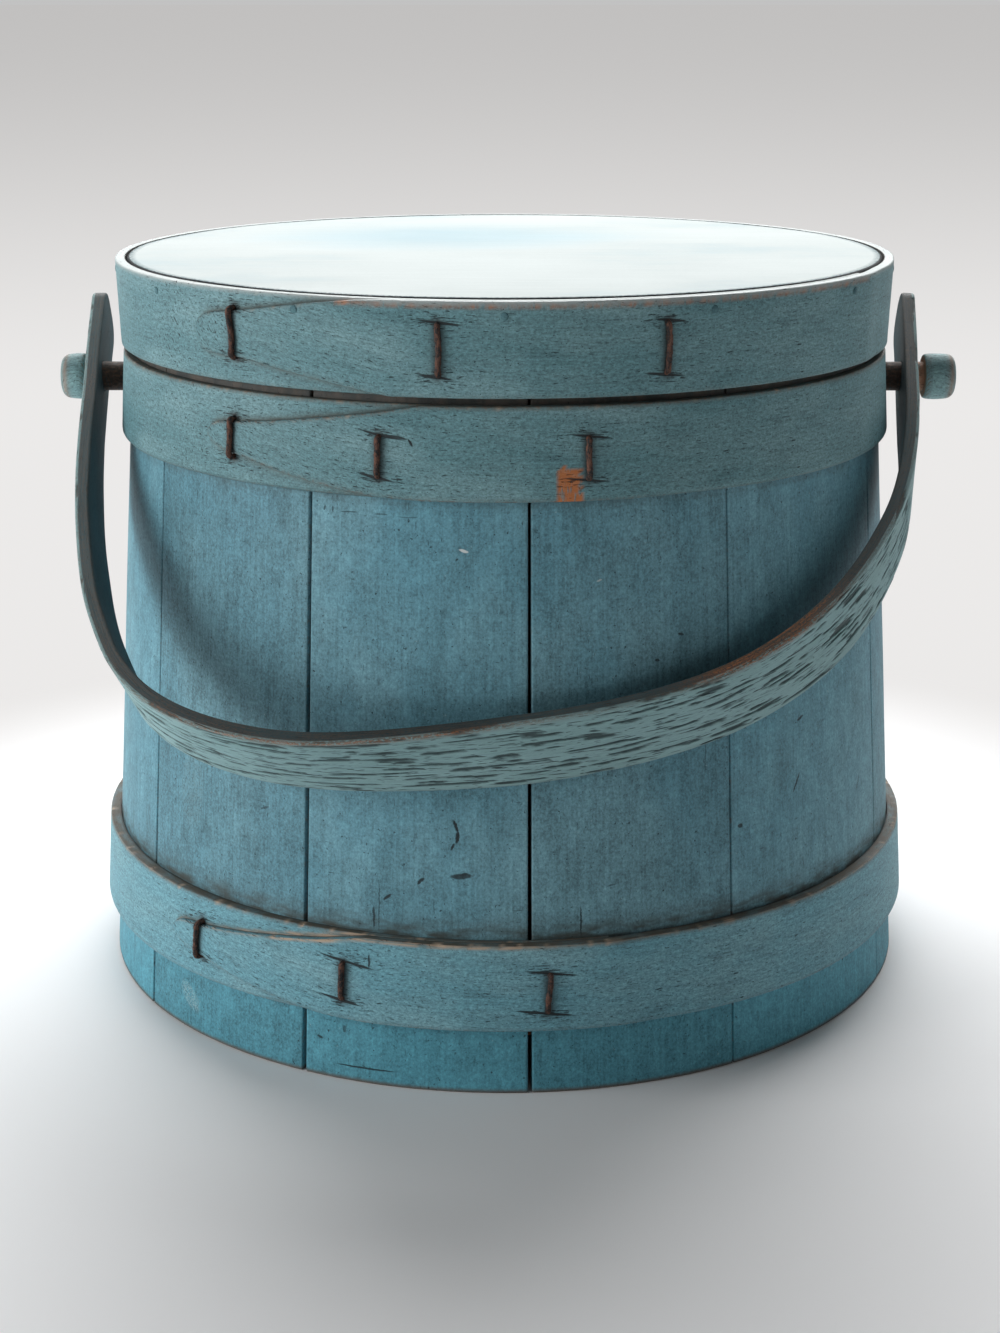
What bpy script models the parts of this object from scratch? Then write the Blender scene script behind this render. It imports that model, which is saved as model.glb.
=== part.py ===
"""A lidded wooden firkin.

Tapered staves stand round a grooved bottom board and are held by two lapped bentwood hoops.
The lid is a board inside a lapped band, and a bentwood handle swings on two turned pegs.
All lengths are metres, all angles degrees, and angles round the body start at the front.
"""

import math

import bmesh
import bpy
from mathutils import Vector

# The staved body
BODY_HEIGHT = 0.2568
BASE_RADIUS = 0.1538
RIM_RADIUS = 0.1364
STAVE_THICKNESS = 0.0100
STAVE_ARRIS = 0.0007
STAVE_FACETS = 5
STAVE_JOINTS_DEG = (-57.5, -26.8, 3.3, 31.4, 66.8, 99.0, 128.0, 157.0, 186.0, 216.0, 247.0, 278.0)
OPEN_JOINTS = 5
OPEN_JOINT_FOOT = 0.0013
OPEN_JOINT_RIM = 0.0006
TIGHT_JOINT = 0.0003

# The bottom board and the groove that holds it
BOTTOM_HEIGHT = 0.0180
BOTTOM_THICKNESS = 0.0095
GROOVE_DEPTH = 0.0040
DISC_SIDES = 60

# Clearances
SEAT_GAP = 0.0003
RUNNING_GAP = 0.0004
CUT_OVERRUN = 0.0030

# The two hoops, each with the angles of its lap and the places of the staples across it
UPPER_HOOP_BELOW_LID = 0.0026
UPPER_HOOP_HEIGHT = 0.0306
UPPER_HOOP_THICKNESS = 0.0027
UPPER_HOOP_BEVEL = 0.0022
UPPER_TIP_DEG = -43.6
UPPER_LAP_DEG = 62.0
UPPER_FLARE_DEG = 33.0
UPPER_STAPLES_DEG = (-38.9, -16.3, 10.8)
UPPER_STAPLE_SHARES = (0.485, 0.45, 0.455)
LOWER_HOOP_FOOT = 0.0247
LOWER_HOOP_HEIGHT = 0.0302
LOWER_HOOP_THICKNESS = 0.0040
LOWER_TIP_DEG = -48.6
LOWER_LAP_DEG = 62.0
LOWER_FLARE_DEG = 31.0
LOWER_STAPLES_DEG = (-43.2, -20.3, 5.5)
LOWER_STAPLE_SHARES = (0.49, 0.465, 0.445)
BAND_ARRIS = 0.0006
BAND_STEP_DEG = 5.0
LAP_CLOSE_DEG = 7.0
LAP_GAP = 0.0003

# The lid
LID_BOARD_THICKNESS = 0.0095
LID_BOARD_SHRINKAGE = 0.0016
LID_BOARD_ARRIS = 0.0005
LID_BAND_HEIGHT = 0.0306
LID_BAND_DROP = 0.0002
LID_BAND_THICKNESS = 0.0035
LID_BAND_FIT = 0.0003
LID_BAND_LEAN = 0.0010
LID_TIP_DEG = -45.0
LID_LAP_DEG = 105.0
LID_FLARE_DEG = 30.0
LID_STAPLES_DEG = (-38.0, -8.4, 21.1)
LID_STAPLE_SHARES = (0.54, 0.50, 0.49)

# The lap of a band thins towards both ends, as shares of the band's thickness
TIP_THICKNESS_SHARE = 0.36
END_THICKNESS_SHARE = 0.22

# The most of a band's thickness that its edge's bevel may take
BEVEL_LIMIT_SHARE = 0.82

# Outline of a lap's tongue: share of the flare, then low and high edge as shares of the height
HOOP_TONGUE_SHARES = (
    (0.00, 0.47, 0.55),
    (0.02, 0.42, 0.60),
    (0.05, 0.375, 0.635),
    (0.10, 0.34, 0.66),
    (0.20, 0.30, 0.68),
    (0.38, 0.20, 0.74),
    (0.64, 0.08, 0.84),
    (0.82, 0.02, 0.91),
    (1.00, 0.00, 1.00),
)
LID_TONGUE_SHARES = (
    (0.00, 0.42, 0.60),
    (0.02, 0.36, 0.66),
    (0.06, 0.31, 0.71),
    (0.14, 0.29, 0.75),
    (0.28, 0.28, 0.79),
    (0.46, 0.22, 0.86),
    (0.66, 0.14, 0.93),
    (0.85, 0.06, 0.98),
    (1.00, 0.00, 1.00),
)

# Wire staples that pin the laps
WIRE_RADIUS = 0.0009
WIRE_SIDES = 6
WIRE_BEND = 0.0016
WIRE_BEND_STEPS = 3
UPPER_STAPLE_HEIGHT = 0.0146
LOWER_STAPLE_HEIGHT = 0.0148
LID_STAPLE_HEIGHT = 0.0180

# Tacks that hold the lid board in its band
TACKS = 13
FIRST_TACK_DEG = 0.0
TACK_SHANK_RADIUS = 0.0007
TACK_HEAD_RADIUS = 0.0016
TACK_HEAD_THICKNESS = 0.0005
TACK_BITE = 0.0090
TACK_SIDES = 6

# Turned pegs and the pins that keep them in
PEG_ABOVE_HOOP_MIDDLE = 0.0016
PEG_SHAFT_RADIUS = 0.0054
PEG_HEAD_RADIUS = 0.0083
PEG_HEAD_ROUNDING = 0.0028
PEG_ROUNDING_STEPS = 3
PEG_ARRIS = 0.0007
PEG_INNER_LENGTH = 0.0110
PEG_SIDES = 16
LEFT_PEG_PLAY = 0.0016
LEFT_HEAD_LENGTH = 0.0095
RIGHT_PEG_PLAY = 0.0022
RIGHT_HEAD_LENGTH = 0.0118
PIN_RADIUS = 0.0016
PIN_LENGTH = 0.0170
PIN_SIDES = 8

# The bentwood handle
HANDLE_WIDTH = 0.0253
HANDLE_THICKNESS = 0.0052
HANDLE_ARRIS = 0.0007
HANDLE_STANDOFF = 0.0084
HANDLE_DROP = 0.1860
HANDLE_END_ROUNDING = 0.0075
HANDLE_KNOT_STEPS = 12
HANDLE_STEPS = 66
HANDLE_REST_GAP = 0.0004
HANDLE_REST_HALVINGS = 40

# The handle's line as bent: shares of its half span and of its drop below the pegs
HANDLE_LINE_SHARES = (
    (-1.018, -0.205),
    (-1.006, 0.00),
    (-0.981, 0.28),
    (-0.946, 0.49),
    (-0.882, 0.70),
    (-0.763, 0.88),
    (-0.560, 0.975),
    (-0.290, 1.00),
    (0.130, 0.960),
    (0.470, 0.865),
    (0.715, 0.705),
    (0.877, 0.490),
    (0.955, 0.28),
    (0.993, 0.00),
    (1.015, -0.205),
)

# How far the strap is twisted along its length: share of the length, then degrees
HANDLE_TWIST_SHARES = (
    (0.0, 0.0),
    (0.10, 0.0),
    (0.30, -15.0),
    (0.42, -4.0),
    (0.53, 15.0),
    (0.72, 15.0),
    (0.90, 0.0),
    (1.0, 0.0),
)

FULL_TURN = 360.0
SHARP_EDGE_DEG = 30.0

# Each finish: its colour, roughness and metallic value
STAVE_PAINT = ((0.105, 0.215, 0.255), 0.62, 0.0)
HOOP_PAINT = ((0.150, 0.255, 0.275), 0.62, 0.0)
LID_PAINT = ((0.300, 0.420, 0.430), 0.55, 0.0)
HANDLE_PAINT = ((0.125, 0.190, 0.190), 0.66, 0.0)
BARE_WOOD = ((0.200, 0.115, 0.065), 0.75, 0.0)
RUSTY_WIRE = ((0.075, 0.036, 0.024), 0.70, 0.7)


def clear_scene():
    for item in list(bpy.data.objects):
        bpy.data.objects.remove(item, do_unlink=True)


def finish(name, values):
    colour, roughness, metallic = values
    material = bpy.data.materials.new(name)
    material.use_nodes = True
    shader = material.node_tree.nodes["Principled BSDF"]
    shader.inputs["Base Color"].default_value = (*colour, 1.0)
    shader.inputs["Roughness"].default_value = roughness
    shader.inputs["Metallic"].default_value = metallic
    return material


def around(radius, degrees, height):
    """A point at that radius and angle, where angle zero faces the front."""
    turn = math.radians(degrees)
    return Vector((radius * math.sin(turn), -radius * math.cos(turn), height))


def between(table, share):
    """The values of a table's row at that share, interpolated straight."""
    for before, after in zip(table, table[1:]):
        if share <= after[0]:
            part = max(0.0, (share - before[0]) / (after[0] - before[0]))
            return [low + (high - low) * part for low, high in zip(before[1:], after[1:])]
    return list(table[-1][1:])


def loft(name, sections, material, parent):
    """A closed body through rings of points, with a face on the first and last ring."""
    mesh = bpy.data.meshes.new(name)
    shape = bmesh.new()
    rings = [[shape.verts.new(point) for point in section] for section in sections]
    count = len(rings[0])
    for ring, following in zip(rings, rings[1:]):
        for i in range(count):
            j = (i + 1) % count
            shape.faces.new((ring[i], ring[j], following[j], following[i]))
    shape.faces.new(rings[0])
    shape.faces.new(rings[-1])
    bmesh.ops.recalc_face_normals(shape, faces=shape.faces)
    shape.to_mesh(mesh)
    shape.free()
    mesh.shade_smooth()
    mesh.set_sharp_from_angle(angle=math.radians(SHARP_EDGE_DEG))
    item = bpy.data.objects.new(name, mesh)
    bpy.context.scene.collection.objects.link(item)
    item.data.materials.append(material)
    item.parent = parent
    return item


def ring_about(centre, side, up, radius, sides):
    """A ring of points about a centre, in the plane of two unit directions."""
    turns = [2 * math.pi * i / sides for i in range(sides)]
    return [centre + side * (radius * math.cos(t)) + up * (radius * math.sin(t)) for t in turns]


def rod(name, start, end, radius, sides, material, parent):
    along = (end - start).normalized()
    side = along.orthogonal().normalized()
    up = along.cross(side)
    rings = [ring_about(point, side, up, radius, sides) for point in (start, end)]
    return loft(name, rings, material, parent)


def cut(item, cutters):
    """Cuts a group of cutters out of an item, and keeps each cutter as a hidden guide."""
    for cutter in cutters:
        cutter.hide_render = True
        cutter.display_type = "WIRE"
        tool = item.modifiers.new(cutter.name, "BOOLEAN")
        tool.operation = "DIFFERENCE"
        tool.object = cutter


def body_radius(height):
    """Outer radius of the staves at a height."""
    return BASE_RADIUS + (RIM_RADIUS - BASE_RADIUS) * height / BODY_HEIGHT


def inner_radius(height):
    return body_radius(height) - STAVE_THICKNESS


def lid_foot():
    """Height of the lid band's lower edge, with the lid board on the rim."""
    return BODY_HEIGHT + SEAT_GAP + LID_BOARD_THICKNESS - LID_BAND_DROP - LID_BAND_HEIGHT


def upper_hoop_foot():
    return lid_foot() - UPPER_HOOP_BELOW_LID - UPPER_HOOP_HEIGHT


def peg_height():
    """Height of the pegs, which pass through the middle of the upper hoop."""
    return upper_hoop_foot() + UPPER_HOOP_HEIGHT / 2 + PEG_ABOVE_HOOP_MIDDLE


def half_span():
    """From the body's axis to the middle of the strap, beside the upper hoop."""
    hoop_face = body_radius(peg_height()) + UPPER_HOOP_THICKNESS
    return hoop_face + HANDLE_STANDOFF + HANDLE_THICKNESS / 2


def stave_profile():
    """A stave's section as radius and height, with the groove for the bottom board."""
    arris = STAVE_ARRIS
    groove_low = BOTTOM_HEIGHT - SEAT_GAP
    groove_high = BOTTOM_HEIGHT + BOTTOM_THICKNESS + SEAT_GAP
    return (
        (body_radius(0) - arris, 0),
        (body_radius(arris), arris),
        (body_radius(BODY_HEIGHT - arris), BODY_HEIGHT - arris),
        (body_radius(BODY_HEIGHT) - arris, BODY_HEIGHT),
        (inner_radius(BODY_HEIGHT) + arris, BODY_HEIGHT),
        (inner_radius(BODY_HEIGHT - arris), BODY_HEIGHT - arris),
        (inner_radius(groove_high), groove_high),
        (inner_radius(groove_high) + GROOVE_DEPTH, groove_high),
        (inner_radius(groove_low) + GROOVE_DEPTH, groove_low),
        (inner_radius(groove_low), groove_low),
        (inner_radius(arris), arris),
        (inner_radius(0) + arris, 0),
    )


def joint_gap(index, height):
    """Width of a stave joint: the front ones have opened, and more at the foot."""
    if index % len(STAVE_JOINTS_DEG) >= OPEN_JOINTS:
        return TIGHT_JOINT
    return OPEN_JOINT_FOOT + (OPEN_JOINT_RIM - OPEN_JOINT_FOOT) * height / BODY_HEIGHT


def make_stave(index, material, parent):
    count = len(STAVE_JOINTS_DEG)
    start = STAVE_JOINTS_DEG[index]
    end = STAVE_JOINTS_DEG[(index + 1) % count]
    if end < start:
        end += FULL_TURN
    sections = []
    for step in range(STAVE_FACETS + 1):
        section = []
        for radius, height in stave_profile():
            low = start + math.degrees(joint_gap(index, height) / 2 / radius)
            high = end - math.degrees(joint_gap(index + 1, height) / 2 / radius)
            section.append(around(radius, low + (high - low) * step / STAVE_FACETS, height))
        sections.append(section)
    return loft(f"stave_{index + 1:02d}", sections, material, parent)


def make_bottom_board(material, parent):
    rings = []
    for height in (BOTTOM_HEIGHT, BOTTOM_HEIGHT + BOTTOM_THICKNESS):
        radius = inner_radius(height) + GROOVE_DEPTH - SEAT_GAP
        turns = [FULL_TURN * i / DISC_SIDES for i in range(DISC_SIDES)]
        rings.append([around(radius, turn, height) for turn in turns])
    return loft("bottom_board", rings, material, parent)


class Band:
    """A thin wooden strip bent round the body, with its pointed end lapped over the other."""

    def __init__(self, name, foot, height, thickness, bevel, tip, lap, flare, tongue, wall):
        self.name = name
        self.foot = foot
        self.height = height
        self.thickness = thickness
        self.bevel = bevel
        self.tip = tip
        self.lap = lap
        self.flare = flare
        self.tongue = tongue
        self.wall = wall

    def layer_below(self, run):
        """Thickness of what lies under the strip at an angle along its run."""
        if run < self.lap:
            thin = 1 - (1 - END_THICKNESS_SHARE) * run / self.lap
            return self.thickness * thin + LAP_GAP
        rest = self.thickness * END_THICKNESS_SHARE + LAP_GAP
        close = min(1.0, (run - self.lap) / LAP_CLOSE_DEG)
        return rest * (1 + math.cos(math.pi * close)) / 2

    def strip_thickness(self, run):
        if run < self.lap:
            share = TIP_THICKNESS_SHARE + (1 - TIP_THICKNESS_SHARE) * run / self.lap
        elif run > FULL_TURN:
            share = 1 - (1 - END_THICKNESS_SHARE) * (run - FULL_TURN) / self.lap
        else:
            share = 1.0
        return self.thickness * share

    def edges(self, run):
        low, high = between(self.tongue, min(1.0, run / self.flare))
        return self.foot + self.height * low, self.foot + self.height * high

    def section(self, run):
        low, high = self.edges(run)
        under = self.layer_below(run)
        thick = self.strip_thickness(run)
        room = min(thick, high - low) / 2
        arris = min(BAND_ARRIS, room)
        bevel = min(self.bevel, room if run < self.lap else thick * BEVEL_LIMIT_SHARE)
        turn = self.tip + run

        def at(out, height):
            return around(self.wall(height) + under + out, turn, height)

        return (
            at(0, low),
            at(thick - bevel, low),
            at(thick, low + bevel),
            at(thick, high - arris),
            at(thick - arris, high),
            at(0, high),
        )

    def runs(self):
        """Angles along the strip: close at the tongue and where the lap ends."""
        marks = [share * self.flare for share, _, _ in self.tongue]
        marks += [self.lap, self.lap + LAP_CLOSE_DEG / 3, self.lap + LAP_CLOSE_DEG * 2 / 3]
        marks += [self.lap + LAP_CLOSE_DEG, FULL_TURN, FULL_TURN + self.lap]
        marks.sort()
        filled = []
        for start, end in zip(marks, marks[1:]):
            steps = max(1, round((end - start) / BAND_STEP_DEG))
            filled += [start + (end - start) * i / steps for i in range(steps)]
        return filled + [marks[-1]]

    def surface(self, degrees, height):
        """Radius of the outermost face at an angle and a height."""
        run = (degrees - self.tip) % FULL_TURN
        low, high = self.edges(run)
        if low <= height <= high or run > self.lap:
            return self.wall(height) + self.layer_below(run) + self.strip_thickness(run)
        return self.wall(height) + self.strip_thickness(run + FULL_TURN)

    def make(self, material, parent):
        return loft(self.name, [self.section(run) for run in self.runs()], material, parent)


def hoop_wall(height):
    return body_radius(height) + SEAT_GAP


def lid_wall(height):
    """Inner radius of the lid's band, which clears the staves at its foot and leans out a little."""
    foot = body_radius(lid_foot()) + LID_BAND_FIT
    return foot + LID_BAND_LEAN * (height - lid_foot()) / LID_BAND_HEIGHT


def staple_path(band, degrees, middle, height):
    """The wire's line as radius and height: in, round a bend, across the lap, and back in."""
    low = middle - height / 2 + WIRE_RADIUS
    high = middle + height / 2 - WIRE_RADIUS
    lap = band.surface(degrees, middle) - band.wall(middle)
    proud = lap + SEAT_GAP + WIRE_RADIUS
    line = [(band.wall(low) + SEAT_GAP, low)]
    for step in range(WIRE_BEND_STEPS + 1):
        turn = math.pi / 2 * step / WIRE_BEND_STEPS
        z = low + WIRE_BEND * (1 - math.cos(turn))
        line.append((band.wall(z) + proud - WIRE_BEND * (1 - math.sin(turn)), z))
    for step in range(WIRE_BEND_STEPS, -1, -1):
        turn = math.pi / 2 * step / WIRE_BEND_STEPS
        z = high - WIRE_BEND * (1 - math.cos(turn))
        line.append((band.wall(z) + proud - WIRE_BEND * (1 - math.sin(turn)), z))
    line.append((band.wall(high) + SEAT_GAP, high))
    return line


def make_staple(name, band, degrees, middle, height, material, parent):
    """Makes a staple, and gives back the two cutters that make room for its legs."""
    line = staple_path(band, degrees, middle, height)
    across = around(1.0, degrees + FULL_TURN / 4, 0)
    points = [around(radius, degrees, z) for radius, z in line]
    rings = []
    for i, point in enumerate(points):
        ahead = points[min(i + 1, len(points) - 1)] - points[max(i - 1, 0)]
        normal = ahead.normalized().cross(across)
        rings.append(ring_about(point, across, normal, WIRE_RADIUS, WIRE_SIDES))
    loft(name, rings, material, parent)
    cutters = []
    for end, leg in (("low", line[0]), ("high", line[-1])):
        start = around(leg[0] - CUT_OVERRUN, degrees, leg[1])
        stop = around(band.surface(degrees, middle) + CUT_OVERRUN, degrees, leg[1])
        radius = WIRE_RADIUS + SEAT_GAP
        cutters.append(rod(f"{name}_{end}_hole", start, stop, radius, WIRE_SIDES, material, parent))
    return cutters


def make_staples(band, degrees, shares, height, material, parent):
    cutters = []
    for number, (turn, share) in enumerate(zip(degrees, shares), 1):
        name = f"{band.name}_staple_{number}"
        middle = band.foot + band.height * share
        cutters += make_staple(name, band, turn, middle, height, material, parent)
    return cutters


def make_lid_board(material, parent):
    low = BODY_HEIGHT + SEAT_GAP
    high = low + LID_BOARD_THICKNESS
    radius = lid_wall(low) - SEAT_GAP
    arris = LID_BOARD_ARRIS
    rings = []
    for inset, height in ((arris, low), (0, low + arris), (0, high - arris), (arris, high)):
        ring = []
        for i in range(DISC_SIDES):
            point = around(radius - inset, FULL_TURN * i / DISC_SIDES, height)
            point.y *= 1 - LID_BOARD_SHRINKAGE / radius
            ring.append(point)
        rings.append(ring)
    return loft("lid_board", rings, material, parent)


def tack_height():
    return BODY_HEIGHT + SEAT_GAP + LID_BOARD_THICKNESS / 2


def make_tack(number, band, material, parent):
    """Makes a tack through the lid's band, and gives back the cutter for its hole."""
    turn = FIRST_TACK_DEG + FULL_TURN * (number - 1) / TACKS
    height = tack_height()
    face = band.surface(turn, height) + SEAT_GAP
    across = around(1.0, turn + FULL_TURN / 4, 0)
    up = Vector((0, 0, 1))
    shank = TACK_SHANK_RADIUS
    point = band.wall(height) - TACK_BITE
    profile = (
        (point, shank / 3),
        (point + TACK_BITE / 4, shank),
        (face, shank),
        (face, TACK_HEAD_RADIUS),
        (face + TACK_HEAD_THICKNESS / 2, TACK_HEAD_RADIUS),
        (face + TACK_HEAD_THICKNESS, TACK_HEAD_RADIUS * 2 / 3),
    )
    rings = [ring_about(around(r, turn, height), across, up, w, TACK_SIDES) for r, w in profile]
    tack = loft(f"lid_tack_{number:02d}", rings, material, parent)
    start = around(point - SEAT_GAP, turn, height)
    stop = around(face + CUT_OVERRUN, turn, height)
    room = shank + SEAT_GAP
    return rod(f"{tack.name}_hole", start, stop, room, TACK_SIDES, material, parent)


def make_peg(name, side, shoulder, head, material, parent):
    """A turned peg on the handle's axis, its head outside and its tail inside the body."""
    tail = inner_radius(peg_height()) - PEG_INNER_LENGTH
    end = shoulder + head
    round_off = PEG_HEAD_ROUNDING
    profile = [(tail, PEG_SHAFT_RADIUS - PEG_ARRIS), (tail + PEG_ARRIS, PEG_SHAFT_RADIUS)]
    profile += [(shoulder, PEG_SHAFT_RADIUS), (shoulder, PEG_HEAD_RADIUS - PEG_ARRIS)]
    profile += [(shoulder + PEG_ARRIS, PEG_HEAD_RADIUS)]
    for step in range(PEG_ROUNDING_STEPS + 1):
        turn = math.pi / 2 * step / PEG_ROUNDING_STEPS
        out = end - round_off + round_off * math.sin(turn)
        profile.append((out, PEG_HEAD_RADIUS - round_off + round_off * math.cos(turn)))
    forward = Vector((0, 1, 0))
    up = Vector((0, 0, 1))
    rings = []
    for out, radius in profile:
        centre = Vector((side * out, 0, peg_height()))
        rings.append(ring_about(centre, forward, up, radius, PEG_SIDES))
    return loft(name, rings, material, parent)


def peg_hole(name, side, start, stop, gap, material, parent):
    ends = [Vector((side * x, 0, peg_height())) for x in (start, stop)]
    return rod(name, *ends, PEG_SHAFT_RADIUS + gap, PEG_SIDES, material, parent)


def pin_rod(name, side, gap, material, parent):
    """The upright pin behind the wall, or the cutter for its hole through the peg."""
    half = PIN_LENGTH / 2
    wall = min(inner_radius(peg_height() + half), inner_radius(peg_height() - half))
    slope = abs(inner_radius(0) - inner_radius(PIN_LENGTH))
    x = side * (wall - SEAT_GAP - PIN_RADIUS - slope)
    low = Vector((x, 0, peg_height() - half))
    high = Vector((x, 0, peg_height() + half))
    return rod(name, low, high, PIN_RADIUS + gap, PIN_SIDES, material, parent)


def handle_line(steps):
    """Evenly spaced points of the handle's middle line, across and down from the pegs."""
    knots = [Vector((x * half_span(), down * HANDLE_DROP)) for x, down in HANDLE_LINE_SHARES]
    dense = []
    last = len(knots) - 1
    for i in range(last):
        before, start, end, after = (knots[min(last, max(0, k))] for k in range(i - 1, i + 3))
        for step in range(HANDLE_KNOT_STEPS):
            t = step / HANDLE_KNOT_STEPS
            pull = (end - before) * (t - 2 * t * t + t * t * t) / 2
            push = (after - start) * (t * t * t - t * t) / 2
            blend = 3 * t * t - 2 * t * t * t
            dense.append(start * (1 - blend) + end * blend + pull + push)
    dense.append(knots[-1])
    runs = [0.0]
    for start, end in zip(dense, dense[1:]):
        runs.append(runs[-1] + (end - start).length)
    points = []
    k = 0
    for step in range(steps + 1):
        run = runs[-1] * step / steps
        while k < len(runs) - 2 and runs[k + 1] < run:
            k += 1
        part = (run - runs[k]) / (runs[k + 1] - runs[k])
        points.append(dense[k].lerp(dense[k + 1], part))
    return points, runs[-1]


def handle_section(point, along, half_width, twist):
    """One ring of the strap as across, down and forward, turned about its middle line."""
    outward = Vector((along.y, -along.x))
    half = HANDLE_THICKNESS / 2
    arris = min(HANDLE_ARRIS, half_width / 2)
    corners = (
        (half, half_width - arris),
        (half - arris, half_width),
        (arris - half, half_width),
        (-half, half_width - arris),
        (-half, arris - half_width),
        (arris - half, -half_width),
        (half - arris, -half_width),
        (half, arris - half_width),
    )
    ring = []
    for out, wide in corners:
        turned_out = out * math.cos(twist) - wide * math.sin(twist)
        turned_wide = out * math.sin(twist) + wide * math.cos(twist)
        flat = point - outward * turned_out
        ring.append((flat.x, flat.y, turned_wide))
    return ring


def handle_rings():
    """The strap's rings in its own plane: across, down from the pegs, and out of the plane."""
    points, length = handle_line(HANDLE_STEPS)
    rings = []
    for i, point in enumerate(points):
        along = points[min(i + 1, HANDLE_STEPS)] - points[max(i - 1, 0)]
        share = i / HANDLE_STEPS
        twist = math.radians(between(HANDLE_TWIST_SHARES, share)[0])
        from_end = min(share, 1 - share) * length
        short = max(0.0, HANDLE_END_ROUNDING - from_end)
        trim = HANDLE_END_ROUNDING - math.sqrt(HANDLE_END_ROUNDING**2 - short**2)
        half_width = HANDLE_WIDTH / 2 - trim
        rings.append(handle_section(point, along.normalized(), half_width, twist))
    return rings


def swing(point, tilt):
    """A point of the handle's plane turned forward from hanging straight down."""
    across, down, out = point
    y = -down * math.sin(tilt) - out * math.cos(tilt)
    z = -down * math.cos(tilt) + out * math.sin(tilt)
    return Vector((across, y, z))


def handle_clearance(rings, tilt):
    """Least distance from the strap to the staves when it is tilted forward by that much."""
    least = half_span()
    for ring in rings:
        for point in ring:
            at = swing(point, tilt)
            if point[1] > HANDLE_DROP / 2:
                wall = body_radius(peg_height() + at.z)
                least = min(least, math.hypot(at.x, at.y) - wall)
    return least


def handle_rest_tilt(rings):
    """The tilt at which the strap lies against the front of the staves."""
    low = 0.0
    high = math.pi / 2
    for _ in range(HANDLE_REST_HALVINGS):
        middle = (low + high) / 2
        if handle_clearance(rings, middle) < HANDLE_REST_GAP:
            low = middle
        else:
            high = middle
    return high


def make_handle(material, parent):
    """The strap, hung from an empty on the pegs' axis."""
    rings = handle_rings()
    tilt = handle_rest_tilt(rings)
    axis = bpy.data.objects.new("handle_axis", None)
    bpy.context.scene.collection.objects.link(axis)
    axis.parent = parent
    axis.location = (0, 0, peg_height())
    sections = [[swing(point, tilt) for point in ring] for ring in rings]
    print(f"handle rests {math.degrees(tilt):.2f} degrees forward of straight down")
    return loft("handle", sections, material, axis)


def centre_on_origin(root):
    """Moves the whole firkin so that the middle of its outline stands on the origin."""
    bpy.context.view_layer.update()
    points = []
    for item in bpy.data.objects:
        if item.type == "MESH" and not item.hide_render:
            points += [item.matrix_world @ vertex.co for vertex in item.data.vertices]
    for k in (0, 1):
        values = [point[k] for point in points]
        root.location[k] = -(min(values) + max(values)) / 2
    print("body axis stands at", [round(value, 6) for value in root.location])


def make_body(paint, bare, root):
    staves = [make_stave(i, paint, root) for i in range(len(STAVE_JOINTS_DEG))]
    make_bottom_board(bare, root)
    return staves


def make_hoops(paint, wire, root):
    upper = Band(
        "upper_hoop", upper_hoop_foot(), UPPER_HOOP_HEIGHT, UPPER_HOOP_THICKNESS, UPPER_HOOP_BEVEL,
        UPPER_TIP_DEG, UPPER_LAP_DEG, UPPER_FLARE_DEG, HOOP_TONGUE_SHARES, hoop_wall,
    )
    lower = Band(
        "lower_hoop", LOWER_HOOP_FOOT, LOWER_HOOP_HEIGHT, LOWER_HOOP_THICKNESS, BAND_ARRIS,
        LOWER_TIP_DEG, LOWER_LAP_DEG, LOWER_FLARE_DEG, HOOP_TONGUE_SHARES, hoop_wall,
    )
    upper_hoop = upper.make(paint, root)
    lower_hoop = lower.make(paint, root)
    places = (UPPER_STAPLES_DEG, UPPER_STAPLE_SHARES, UPPER_STAPLE_HEIGHT)
    cut(upper_hoop, make_staples(upper, *places, wire, root))
    places = (LOWER_STAPLES_DEG, LOWER_STAPLE_SHARES, LOWER_STAPLE_HEIGHT)
    cut(lower_hoop, make_staples(lower, *places, wire, root))
    return upper_hoop


def make_lid(paint, wire, root):
    band = Band(
        "lid_band", lid_foot(), LID_BAND_HEIGHT, LID_BAND_THICKNESS, BAND_ARRIS,
        LID_TIP_DEG, LID_LAP_DEG, LID_FLARE_DEG, LID_TONGUE_SHARES, lid_wall,
    )
    lid_band = band.make(paint, root)
    lid_board = make_lid_board(paint, root)
    places = (LID_STAPLES_DEG, LID_STAPLE_SHARES, LID_STAPLE_HEIGHT)
    cut(lid_band, make_staples(band, *places, wire, root))
    holes = [make_tack(number, band, wire, root) for number in range(1, TACKS + 1)]
    cut(lid_band, holes)
    cut(lid_board, holes)


def make_pegs(staves, upper_hoop, strap, paint, bare, root):
    """The pegs, their pins, and the holes that they pass through."""
    sides = (
        ("left", -1, LEFT_PEG_PLAY, LEFT_HEAD_LENGTH),
        ("right", 1, RIGHT_PEG_PLAY, RIGHT_HEAD_LENGTH),
    )
    for word, side, play, head in sides:
        shoulder = half_span() + HANDLE_THICKNESS / 2 + play
        peg = make_peg(f"peg_{word}", side, shoulder, head, paint, root)
        pin_rod(f"peg_pin_{word}", side, 0, bare, root)
        cut(peg, [pin_rod(f"peg_pin_{word}_hole", side, SEAT_GAP, bare, root)])
        start = inner_radius(peg_height()) - CUT_OVERRUN
        hole = peg_hole(f"peg_{word}_hole", side, start, shoulder, SEAT_GAP, bare, root)
        turn = side * FULL_TURN / 4
        for i, stave in enumerate(staves):
            first = STAVE_JOINTS_DEG[i]
            width = (STAVE_JOINTS_DEG[(i + 1) % len(staves)] - first) % FULL_TURN
            if (turn - first) % FULL_TURN < width:
                cut(stave, [hole])
        cut(upper_hoop, [hole])
        eye = peg_hole(f"handle_{word}_hole", side, start, shoulder, RUNNING_GAP, bare, root)
        cut(strap, [eye])


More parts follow.
